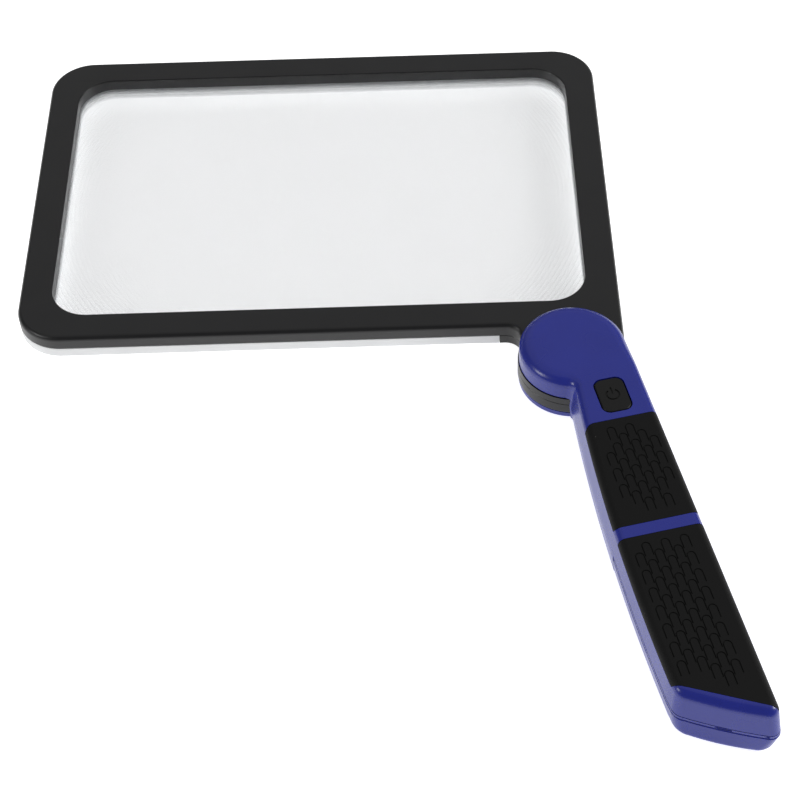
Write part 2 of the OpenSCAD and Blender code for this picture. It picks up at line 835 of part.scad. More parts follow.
module battery_left() { color([0.75, 0.55, 0.2]) on_handle() cell(cell_x[0], cell_start, true); }

module battery_right() { color([0.75, 0.55, 0.2]) on_handle() cell(cell_x[1], cell_front, false); }

spring_wire_r = 0.3;
spring_turns = 3.5;
spring_steps = 14;

// point k of a coil that opens from r0 to r1 over its length
function coil_point(k, r0, r1) =
    let (t = k / (spring_turns * spring_steps), a = 360 * k / spring_steps, r = r0 + (r1 - r0) * t)
    [r * cos(a), r * sin(a), spring_wire_r + t * (spring_l - 2 * spring_wire_r)];

module coil_spring(r0, r1) {
    n = spring_turns * spring_steps;
    sides = 6;
    rings = [for (k = [0:n], j = [0:sides - 1])
        let (p = coil_point(k, r0, r1), a = 360 * k / spring_steps, b = 360 * j / sides)
        p + spring_wire_r * [cos(b) * cos(a), cos(b) * sin(a), sin(b)]];
    walls = [for (k = [0:n - 1], j = [0:sides - 1])
        let (m = (j + 1) % sides)
        [k * sides + j, k * sides + m, (k + 1) * sides + m, (k + 1) * sides + j]];
    caps = [[for (j = [sides - 1:-1:0]) j], [for (j = [0:sides - 1]) n * sides + j]];
    polyhedron(rings, concat(walls, caps));
}

module battery_springs() {
    color([0.8, 0.8, 0.82]) on_handle() {
        translate([cell_x[0], -bay_at - plate_t, cell_z]) rotate([90, 0, 0]) coil_spring(3.4, 2.2);
        translate([cell_x[1], -bay_end + plate_t, cell_z]) rotate([-90, 0, 0]) coil_spring(3.4, 2.2);
    }
}

module contact_plate(x, u0, w) {
    translate([x - w / 2, -u0 - plate_t, cell_z - 4.2]) cube([w, plate_t, 8.4]);
}

module front_contact_left() {
    color([0.8, 0.8, 0.82]) on_handle() contact_plate(cell_x[0], bay_at, 8.6);
}

module front_contact_right() {
    color([0.8, 0.8, 0.82]) on_handle() contact_plate(cell_x[1], bay_at, 8.6);
}

module bridge_contact() {
    color([0.8, 0.8, 0.82]) on_handle()
        contact_plate(cell_mid, bay_end - plate_t, cell_x[1] - cell_x[0] + 8.6);
}

module handle_screws() {
    color([0.7, 0.7, 0.72]) on_handle() for (p = handle_screw_at)
        translate([p[0], -p[1], 0.3]) screw(screw_r, 10, 2, 1.1);
}

// leads from the contacts to the switch board, and on to the hinge
module handle_leads() {
    under = tact_z - board_t;
    entry = lead_ring_r * [cos(lead_at), sin(lead_at)];
    color([0.12, 0.12, 0.13]) on_handle() {
        flat_lead([[cell_mid, -bay_at + rib_t + lead_t / 2 + 0.1], [cell_mid, -button_at]],
            under - lead_w, under);
        flat_lead([[entry[0], -switch_board_at - 1.2], entry], tact_z, tact_z + lead_w);
        translate([entry[0], entry[1], disc_z]) cylinder(r = lead_r, h = tact_z - disc_z + 0.5, $fn = 24);
    }
}

// ---- assembly ----

frame_upper_shell();
diffuser_tray();
hinge_corner_cover();
sheet_lens();
light_board_far();
light_board_near();
lamps();
frame_leads();
frame_screws();
corner_cover_screws();
upper_wave_washer();
lower_hinge_washer();
hinge_screw();
hinge_cap();
handle_upper_shell();
handle_lower_cover();
battery_door();
grip_front();
grip_rear();
power_button();
switch_board();
tact_switch();
switch_plunger();
battery_left();
battery_right();
battery_springs();
front_contact_left();
front_contact_right();
bridge_contact();
handle_screws();
handle_leads();
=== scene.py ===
"""Looks of a folding page magnifier: a lit sheet lens in a black frame on a blue battery handle.

Sizes in the classes are millimetres. Meshes are written in metres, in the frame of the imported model:
the origin is on the hinge axis at the handle's underside, X runs along the frame's long edge and Z is up.
"""

import logging
import math
from collections.abc import Sequence
from dataclasses import dataclass, field
from enum import Enum

import bmesh
import bpy
from mathutils import Matrix, Vector
from mathutils.geometry import tessellate_polygon


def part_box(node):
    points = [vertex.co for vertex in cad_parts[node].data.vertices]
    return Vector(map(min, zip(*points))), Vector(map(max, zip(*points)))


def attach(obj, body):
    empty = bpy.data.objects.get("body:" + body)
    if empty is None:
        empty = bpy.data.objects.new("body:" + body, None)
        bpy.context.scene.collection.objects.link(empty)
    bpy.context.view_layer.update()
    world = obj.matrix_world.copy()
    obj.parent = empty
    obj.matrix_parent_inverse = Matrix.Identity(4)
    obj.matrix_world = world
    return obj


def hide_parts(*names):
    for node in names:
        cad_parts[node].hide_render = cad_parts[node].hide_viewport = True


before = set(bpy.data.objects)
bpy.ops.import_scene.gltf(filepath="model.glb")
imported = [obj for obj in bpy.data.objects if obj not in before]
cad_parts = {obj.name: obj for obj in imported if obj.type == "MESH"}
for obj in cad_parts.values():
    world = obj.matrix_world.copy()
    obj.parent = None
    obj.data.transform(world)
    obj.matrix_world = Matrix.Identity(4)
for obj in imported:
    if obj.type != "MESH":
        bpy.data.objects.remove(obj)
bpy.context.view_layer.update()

MM = 0.001
SMOOTH_BELOW = math.radians(32)
BELOW, ABOVE = -5.0, 30.0    # heights clear of every piece, for the ends of cutters
BEYOND = 200.0    # a distance past the handle's end

Point2 = tuple[float, float]
Point3 = tuple[float, float, float]
Ring = list[Point3]

log = logging.getLogger("magnifier")


class Body(Enum):
    """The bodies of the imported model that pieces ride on."""

    HANDLE = "handle"
    FRAME = "frame"
    BUTTON = "button"
    DOOR = "door"


class Carve(Enum):
    """How one solid changes another."""

    CUT = "DIFFERENCE"
    JOIN = "UNION"
    KEEP = "INTERSECT"


# ---- shapes ----


def smooth(t: float) -> float:
    """Eases t from 0 to 1 with level ends."""
    t = min(1.0, max(0.0, t))
    return t * t * (3 - 2 * t)


def mix(a: float, b: float, t: float) -> float:
    """Gives the value that lies the share t of the way from a to b."""
    return a + (b - a) * t


def arc(centre: Point2, radius: float, start: float, end: float, steps: int) -> list[Point2]:
    """Gives the points of an arc.

    Args:
        centre: Middle of the arc.
        radius: Its radius.
        start: Bearing of the first point, in degrees.
        end: Bearing of the last point, in degrees.
        steps: Number of chords.

    Returns:
        The points, both ends included.
    """
    angles = (math.radians(mix(start, end, i / steps)) for i in range(steps + 1))
    return [(centre[0] + radius * math.cos(a), centre[1] + radius * math.sin(a)) for a in angles]


def rounded_box(low: Point2, high: Point2, radius: float, steps: int = 24) -> list[Point2]:
    """Gives a rectangle with round corners.

    Args:
        low: Its lowest corner.
        high: Its highest corner.
        radius: Radius of its corners.
        steps: Chords in each corner.

    Returns:
        The points, anticlockwise.
    """
    x0, y0, x1, y1 = low[0] + radius, low[1] + radius, high[0] - radius, high[1] - radius
    return [
        p
        for centre, start in (((x1, y0), 270), ((x1, y1), 0), ((x0, y1), 90), ((x0, y0), 180))
        for p in arc(centre, radius, start, start + 90, steps)
    ]


def at_height(outline: Sequence[Point2], z: float) -> Ring:
    """Lifts an outline to the height z."""
    return [(x, y, z) for x, y in outline]


def rounding(radius: float, steps: int) -> list[Point2]:
    """Gives the (inset, height) pairs of a quarter round, from its upright foot to its level top."""
    angles = (math.pi / 2 * i / steps for i in range(steps + 1))
    return [(radius * (1 - math.cos(a)), radius * math.sin(a)) for a in angles]


@dataclass
class Solid:
    """A closed mesh being put together, in millimetres."""

    points: list[Point3] = field(default_factory=list)
    faces: list[tuple[int, ...]] = field(default_factory=list)

    def add_ring(self, ring: Sequence[Point3]) -> list[int]:
        """Adds a ring of points and returns their numbers."""
        first = len(self.points)
        self.points.extend(ring)
        return list(range(first, len(self.points)))

    def band(self, lower: Sequence[int], upper: Sequence[int]) -> None:
        """Joins two rings of equal length with quads.

        Args:
            lower: Numbers of the first ring's points.
            upper: Numbers of the second ring's points.
        """
        count = len(lower)
        for i in range(count):
            k = (i + 1) % count
            self.faces.append((lower[i], lower[k], upper[k], upper[i]))

    def cap(self, *loops: Sequence[int]) -> None:
        """Closes a level opening; loops after the first are holes in it."""
        flat = [number for loop in loops for number in loop]
        outlines = [[Vector(self.points[n]) for n in loop] for loop in loops]
        self.faces.extend(tuple(flat[i] for i in three) for three in tessellate_polygon(outlines))

    def build(self, name: str) -> bpy.types.Object:
        """Makes the mesh object.

        Args:
            name: Name of the object.

        Returns:
            The object, linked to the scene, with its normals outward.
        """
        mesh = bpy.data.meshes.new(name)
        mesh.from_pydata([Vector(p) * MM for p in self.points], [], self.faces)
        shape = bmesh.new()
        shape.from_mesh(mesh)
        bmesh.ops.remove_doubles(shape, verts=shape.verts, dist=1e-7)
        bmesh.ops.recalc_face_normals(shape, faces=shape.faces)
        shape.to_mesh(mesh)
        shape.free()
        piece = bpy.data.objects.new(name, mesh)
        bpy.context.scene.collection.objects.link(piece)
        return piece


def lofted(rings: Sequence[Sequence[Point3]]) -> Solid:
    """Makes a solid from rings that lie one above another.

    Args:
        rings: Rings with the same number of points, from the bottom up.

    Returns:
        The solid, with its two ends closed.
    """
    solid = Solid()
    numbers = [solid.add_ring(ring) for ring in rings]
    for lower, upper in zip(numbers, numbers[1:]):
        solid.band(lower, upper)
    solid.cap(numbers[0])
    solid.cap(numbers[-1])
    return solid


def holed(outside: Sequence[Ring], inside: Sequence[Ring]) -> Solid:
    """Makes a solid with a hole right through it.

    Args:
        outside: Rings of the outer wall, from the bottom up.
        inside: Rings of the hole's wall, from the bottom up.

    Returns:
        The closed solid.
    """
    solid = Solid()
    outer, inner = ([solid.add_ring(ring) for ring in rings] for rings in (outside, inside))
    for numbers in (outer, inner):
        for lower, upper in zip(numbers, numbers[1:]):
            solid.band(lower, upper)
    solid.cap(outer[0], inner[0])
    solid.cap(outer[-1], inner[-1])
    return solid


def prism(outline: Sequence[Point2], low: float, high: float) -> bpy.types.Object:
    """Makes an upright prism between two heights, to carve with."""
    return lofted([at_height(outline, low), at_height(outline, high)]).build("tool")


def cylinder(centre: Point2, radius: float, low: float, high: float, steps: int = 128) -> bpy.types.Object:
    """Makes an upright cylinder to carve with."""
    return prism(arc(centre, radius, 0, 360, steps)[:-1], low, high)


def bake(piece: bpy.types.Object) -> None:
    """Writes a piece's modifiers into its mesh."""
    graph = bpy.context.evaluated_depsgraph_get()
    old = piece.data
    piece.data = bpy.data.meshes.new_from_object(piece.evaluated_get(graph))
    piece.modifiers.clear()
    piece.data.name = piece.name
    bpy.data.meshes.remove(old)


def carve(piece: bpy.types.Object, how: Carve, *tools: bpy.types.Object) -> None:
    """Cuts, joins or trims a piece with other solids, which are used up.

    Args:
        piece: The solid that changes.
        how: What the tools do to it.
        *tools: The solids to work with.
    """
    for tool in tools:
        step = piece.modifiers.new("carve", "BOOLEAN")
        step.operation = how.value
        step.solver = "EXACT"
        step.object = tool
        bake(piece)
        used = tool.data
        bpy.data.objects.remove(tool)
        bpy.data.meshes.remove(used)


def even_shading(piece: bpy.types.Object) -> None:
    """Shades a piece smooth across its roundings and keeps its flats flat."""
    mesh = piece.data
    mesh.polygons.foreach_set("use_smooth", [True] * len(mesh.polygons))
    mesh.set_sharp_from_angle(angle=SMOOTH_BELOW)
    step = piece.modifiers.new("weighted normals", "WEIGHTED_NORMAL")
    step.keep_sharp = True
    bake(piece)


def hand_over(
    piece: bpy.types.Object, body: Body, nodes: Sequence[str], material: bpy.types.Material
) -> None:
    """Gives a finished piece its material, its body and the nodes that it stands for.

    Args:
        piece: The finished piece.
        body: The body that it moves with.
        nodes: CAD nodes that it replaces.
        material: Its finish.
    """
    piece.data.materials.clear()
    piece.data.materials.append(material)
    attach(piece, body.value)
    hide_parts(*nodes)
    log.info("%s: %d points, rides on %s, stands for %s", piece.name, len(piece.data.vertices),
             body.value, ", ".join(nodes))


# ---- finishes ----


def srgb(code: str) -> tuple[float, float, float, float]:
    """Turns an sRGB hex colour such as #1B287C into a linear colour with full alpha."""
    parts = [int(code[i : i + 2], 16) / 255 for i in (1, 3, 5)]
    red, green, blue = (c / 12.92 if c <= 0.04045 else ((c + 0.055) / 1.055) ** 2.4 for c in parts)
    return red, green, blue, 1.0


def per_metre(size: float) -> float:
    """Gives the texture scale whose features are the given number of millimetres across."""
    return 1000 / size


def add_node(
    tree: bpy.types.NodeTree,
    kind: str,
    settings: dict[str, object] | None = None,
    values: dict[str | int, object] | None = None,
    links: dict[str | int, bpy.types.NodeSocket] | None = None,
) -> bpy.types.Node:
    """Adds a node to a material.

    Args:
        tree: The material's node tree.
        kind: The node's type.
        settings: Options of the node itself.
        values: Numbers and colours for its inputs.
        links: Outputs of other nodes for its inputs.

    Returns:
        The new node.
    """
    node = tree.nodes.new(kind)
    for name, value in (settings or {}).items():
        setattr(node, name, value)
    for name, value in (values or {}).items():
        node.inputs[name].default_value = value
    for name, socket in (links or {}).items():
        tree.links.new(socket, node.inputs[name])
    return node


@dataclass(frozen=True)
class Finish:
    """A surface finish: what the thing is made of and how it was made."""

    name: str
    colour: str
    roughness: float
    ior: float = 1.5

    def make(self) -> bpy.types.Material:
        """Makes the material.

        Returns:
            The material with its texture nodes in place.
        """
        material = bpy.data.materials.new(self.name)
        material.use_nodes = True
        tree = material.node_tree
        shader = tree.nodes["Principled BSDF"]
        shader.inputs["Base Color"].default_value = srgb(self.colour)
        shader.inputs["Roughness"].default_value = self.roughness
        shader.inputs["IOR"].default_value = self.ior
        place = add_node(tree, "ShaderNodeTexCoord").outputs["Object"]
        self.dress(tree, shader, place)
        return material

    def dress(self, tree: bpy.types.NodeTree, shader: bpy.types.Node, place: bpy.types.NodeSocket) -> None:
        """Adds the finish's own texture; each kind of finish has its own."""
        raise NotImplementedError

    def noise(
        self, tree: bpy.types.NodeTree, place: bpy.types.NodeSocket, size: float, detail: float = 3.0
    ) -> bpy.types.NodeSocket:
        """Adds cloudy noise.

        Args:
            tree: The material's node tree.
            place: The point on the surface.
            size: Size of the noise's features in millimetres.
            detail: How many finer layers it has.

        Returns:
            The noise, about 0.5 on average.
        """
        values = {"Scale": per_metre(size), "Detail": detail}
        return add_node(tree, "ShaderNodeTexNoise", None, values, {"Vector": place}).outputs["Fac"]

    def ranged(
        self, tree: bpy.types.NodeTree, source: bpy.types.NodeSocket, low: float, high: float,
        from_low: float = 0.3, from_high: float = 0.7,
    ) -> bpy.types.NodeSocket:
        """Stretches a texture's values to a wanted range.

        Args:
            tree: The material's node tree.
            source: The values to stretch.
            low: Result at from_low and under it.
            high: Result at from_high and over it.
            from_low: Lower end of the source's range.
            from_high: Upper end of the source's range.

        Returns:
            The stretched values.
        """
        values = {"From Min": from_low, "From Max": from_high, "To Min": low, "To Max": high}
        return add_node(tree, "ShaderNodeMapRange", None, values, {"Value": source}).outputs["Result"]

    def tinted(
        self, tree: bpy.types.NodeTree, share: bpy.types.NodeSocket, first: str, second: str
    ) -> bpy.types.NodeSocket:
        """Mixes two colours by a texture.

        Args:
            tree: The material's node tree.
            share: How much of the second colour shows.
            first: Hex colour at 0.
            second: Hex colour at 1.

        Returns:
            The mixed colour.
        """
        colours = {6: srgb(first), 7: srgb(second)}
        return add_node(tree, "ShaderNodeMix", {"data_type": "RGBA"}, colours, {0: share}).outputs[2]

    def relief(
        self, tree: bpy.types.NodeTree, shader: bpy.types.Node, height: bpy.types.NodeSocket,
        depth: float, strength: float = 1.0,
    ) -> None:
        """Adds a bump to the shader.

        Args:
            tree: The material's node tree.
            shader: The shader that it belongs to.
            height: Heights from 0 to 1.
            depth: Depth in millimetres.
            strength: Share of the bump that shows.
        """
        values = {"Strength": strength, "Distance": depth * MM}
        bump = add_node(tree, "ShaderNodeBump", None, values, {"Height": height})
        tree.links.new(bump.outputs["Normal"], shader.inputs["Normal"])


@dataclass(frozen=True)
class MouldedAbs(Finish):
    """Injection-moulded ABS. A fine spark-eroded grain softens its highlights, and the flow of the
    melt leaves faint broad clouds in its gloss."""

    ior: float = 1.54
    second: str = "#000000"
    grain: float = 0.45   # real grain is about 0.1 mm; drawn coarser so that it shows
    grain_depth: float = 0.012
    gloss_spread: float = 0.025
    specular: float = 0.5

    def dress(self, tree: bpy.types.NodeTree, shader: bpy.types.Node, place: bpy.types.NodeSocket) -> None:
        """Adds clouds and grain."""
        shader.inputs["Specular IOR Level"].default_value = self.specular
        cloud = self.noise(tree, place, 14.0, 2.0)
        tree.links.new(self.tinted(tree, self.ranged(tree, cloud, 0, 1), self.colour, self.second),
                       shader.inputs["Base Color"])
        low, high = self.roughness - self.gloss_spread, self.roughness + self.gloss_spread
        gloss = self.ranged(tree, cloud, low, high)
        tree.links.new(gloss, shader.inputs["Roughness"])
        self.relief(tree, shader, self.noise(tree, place, self.grain, 2.0), self.grain_depth, 0.5)


@dataclass(frozen=True)
class MouldedRubber(Finish):
    """Thermoplastic rubber moulded over the handle: nearly black and matte, with a fine pitted grain
    and a few pale specks of dust that such rubber holds."""

    ior: float = 1.5
    grain: float = 0.5    # real grain is about 0.15 mm; drawn coarser so that it shows
    grain_depth: float = 0.03
    second: str = "#121212"
    dust: str = "#5A5A58"
    sheen_level: float = 0.2    # pores between the grain hold back most of its gloss

    def dress(self, tree: bpy.types.NodeTree, shader: bpy.types.Node, place: bpy.types.NodeSocket) -> None:
        """Adds bloom, dust and grain."""
        shader.inputs["Specular IOR Level"].default_value = self.sheen_level
        cloud = self.noise(tree, place, 9.0)
        bloom = self.tinted(tree, self.ranged(tree, cloud, 0, 1), self.colour, self.second)
        spots = add_node(tree, "ShaderNodeTexVoronoi", None, {"Scale": per_metre(3.4)}, {"Vector": place})
        speck = self.ranged(tree, spots.outputs["Distance"], 1, 0, 0.02, 0.06)
        rare = self.ranged(tree, self.noise(tree, place, 6.0), 0, 1, 0.6, 0.66)
        shows = add_node(tree, "ShaderNodeMath", {"operation": "MULTIPLY"}, None,
                         {0: speck, 1: rare}).outputs[0]
        dusty = add_node(tree, "ShaderNodeMix", {"data_type": "RGBA"}, {7: srgb(self.dust)},
                         {0: shows, 6: bloom}).outputs[2]
        tree.links.new(dusty, shader.inputs["Base Color"])
        tree.links.new(self.ranged(tree, cloud, self.roughness - 0.05, self.roughness + 0.05),
                       shader.inputs["Roughness"])
        self.relief(tree, shader, self.noise(tree, place, self.grain, 4.0), self.grain_depth, 0.6)


@dataclass(frozen=True)
class OpalPolycarbonate(Finish):
    """Moulded opal polycarbonate: a white that lets light in a little way, so its edges glow softly."""

    ior: float = 1.58
    depth: float = 1.2
    second: str = "#DDDEDF"

    def dress(self, tree: bpy.types.NodeTree, shader: bpy.types.Node, place: bpy.types.NodeSocket) -> None:
        """Adds the soft scatter, a faint clouding and the tool's grain."""
        shader.inputs["Subsurface Weight"].default_value = 0.25
        shader.inputs["Subsurface Scale"].default_value = self.depth * MM
        shader.inputs["Subsurface Radius"].default_value = (1.0, 1.0, 1.0)
        cloud = self.noise(tree, place, 20.0, 2.0)
        tree.links.new(self.tinted(tree, self.ranged(tree, cloud, 0, 1), self.colour, self.second),
                       shader.inputs["Base Color"])
        tree.links.new(self.ranged(tree, cloud, self.roughness - 0.04, self.roughness + 0.04),
                       shader.inputs["Roughness"])
        self.relief(tree, shader, self.noise(tree, place, 0.6), 0.01, 0.4)


@dataclass(frozen=True)
class GroovedAcrylic(Finish):
    """Clear acrylic sheet with a Fresnel lens pressed into it, drawn with a grey tint that is painted shade
    of the floor under it. The rings are too fine to see in the middle and show as faint arcs towards the
    corners, where their faces are steepest; the arcs are painted shade, drawn as more of the grey tint, over
    a real bump."""

    ior: float = 1.49
    pitch: float = 1.5    # real grooves are about 0.3 mm apart; drawn coarser so that they show
    groove_depth: float = 0.02
    middle: Point3 = (0.0, 0.0, 0.0)
    # ring_shade: the rings' painted shade, as an extra share of grey-tinted sheet
    ring_shade: float = 0.14
    rings_show: tuple[float, float] = (0.07, 0.11)    # from first trace to full strength, in metres
    body: float = 0.5    # share of the light that the sheet bends or holds back; the grey it holds back is painted shade of the floor under it

    def dress(self, tree: bpy.types.NodeTree, shader: bpy.types.Node, place: bpy.types.NodeSocket) -> None:
        """Adds the rings, which grow stronger away from the middle: painted shade as more of the grey tint,
        and a real bump.
        """
        shader.inputs["Transmission Weight"].default_value = 1.0
        from_middle = add_node(tree, "ShaderNodeVectorMath", {"operation": "SUBTRACT"}, {1: self.middle},
                               {0: place}).outputs[0]
        rings = add_node(tree, "ShaderNodeTexWave",
                         {"wave_type": "RINGS", "rings_direction": "Z", "wave_profile": "SAW"},
                         {"Scale": per_metre(self.pitch) * math.pi / 10, "Distortion": 0.0},
                         {"Vector": from_middle})
        away = add_node(tree, "ShaderNodeVectorMath", {"operation": "LENGTH"}, None,
                        {0: from_middle}).outputs["Value"]
        steep = self.ranged(tree, away, 0, 1, *self.rings_show)
        height = add_node(tree, "ShaderNodeMath", {"operation": "MULTIPLY"}, None,
                          {0: rings.outputs["Fac"], 1: steep}).outputs[0]
        smear = self.noise(tree, place, 30.0, 4.0)
        tree.links.new(self.ranged(tree, smear, self.roughness, self.roughness + 0.03, 0.5, 0.75),
                       shader.inputs["Roughness"])
        # the rings add more grey-tinted sheet: painted shade for the light that their groove faces bend and
        # reflect
        tree.links.new(self.ranged(tree, height, self.body, self.body + self.ring_shade, 0, 1),
                       shader.inputs["Alpha"])
        self.relief(tree, shader, height, self.groove_depth, 0.35)


@dataclass(frozen=True)
class WorkedMetal(Finish):
    """Metal that was drawn, turned or stamped, and plated: fine parallel lines lie in its surface."""

    line: float = 0.12
    stretch: Point3 = (1.0, 1.0, 12.0)

    def dress(self, tree: bpy.types.NodeTree, shader: bpy.types.Node, place: bpy.types.NodeSocket) -> None:
        """Adds the lines that its working left."""
        shader.inputs["Metallic"].default_value = 1.0
        along = add_node(tree, "ShaderNodeMapping", None, {"Scale": self.stretch},
                         {"Vector": place}).outputs[0]
        lines = self.noise(tree, along, self.line, 2.0)
        tree.links.new(self.ranged(tree, lines, self.roughness - 0.08, self.roughness + 0.1),
                       shader.inputs["Roughness"])
        self.relief(tree, shader, lines, 0.004, 0.4)


@dataclass(frozen=True)
class CircuitLaminate(Finish):
    """Glass-fibre laminate under green solder mask, with copper tracks showing through as paler lines."""

    track: str = "#2E7A45"

    def dress(self, tree: bpy.types.NodeTree, shader: bpy.types.Node, place: bpy.types.NodeSocket) -> None:
        """Adds the tracks and their slight height."""
        values = {"Scale": 1.0, "Brick Width": 6 * MM, "Row Height": 1.6 * MM, "Mortar Size": 0.25 * MM,
                  "Color1": srgb(self.colour), "Color2": srgb("#124426"), "Mortar": srgb(self.track)}
        tracks = add_node(tree, "ShaderNodeTexBrick", None, values, {"Vector": place})
        tree.links.new(tracks.outputs["Color"], shader.inputs["Base Color"])
        self.relief(tree, shader, tracks.outputs["Fac"], 0.03)


@dataclass(frozen=True)
class PlainMoulding(Finish):
    """Small moulded or extruded part such as a lead's sheath, a washer or a switch: even colour with
    a soft clouding and a light grain."""

    second: str = "#000000"
    grain: float = 0.4

    def dress(self, tree: bpy.types.NodeTree, shader: bpy.types.Node, place: bpy.types.NodeSocket) -> None:
        """Adds clouding and grain."""
        cloud = self.noise(tree, place, 5.0)
        tree.links.new(self.tinted(tree, self.ranged(tree, cloud, 0, 1), self.colour, self.second),
                       shader.inputs["Base Color"])
        self.relief(tree, shader, self.noise(tree, place, self.grain), 0.01, 0.5)


@dataclass(frozen=True)
class LitPaper(Finish):
    """Matt white paper lit from behind, as on a light table, so that no shadow darkens it."""

    glow: float = 0.9

    def dress(self, tree: bpy.types.NodeTree, shader: bpy.types.Node, place: bpy.types.NodeSocket) -> None:
        """Adds the glow and a faint fibre relief."""
        shader.inputs["Emission Color"].default_value = srgb(self.colour)
        shader.inputs["Emission Strength"].default_value = self.glow
        self.relief(tree, shader, self.noise(tree, place, 2.0), 0.02, 0.3)


@dataclass(frozen=True)
class ShrinkWrap(Finish):
    """Printed shrink film round a battery: a copper-coloured shoulder and a dark body, both glossy."""

    body: str = "#26282C"
    along: Point3 = (0.0, -1.0, 0.0)
    change_at: float = 0.1
    change: float = 0.0002

    def dress(self, tree: bpy.types.NodeTree, shader: bpy.types.Node, place: bpy.types.NodeSocket) -> None:
        """Adds the two print colours and the film's faint waviness."""
        way = add_node(tree, "ShaderNodeVectorMath", {"operation": "DOT_PRODUCT"}, {1: self.along},
                       {0: place}).outputs["Value"]
        share = self.ranged(tree, way, 0, 1, self.change_at, self.change_at + self.change)
        tree.links.new(self.tinted(tree, share, self.colour, self.body), shader.inputs["Base Color"])
        self.relief(tree, shader, self.noise(tree, place, 6.0), 0.05, 0.3)


# ---- frame ----


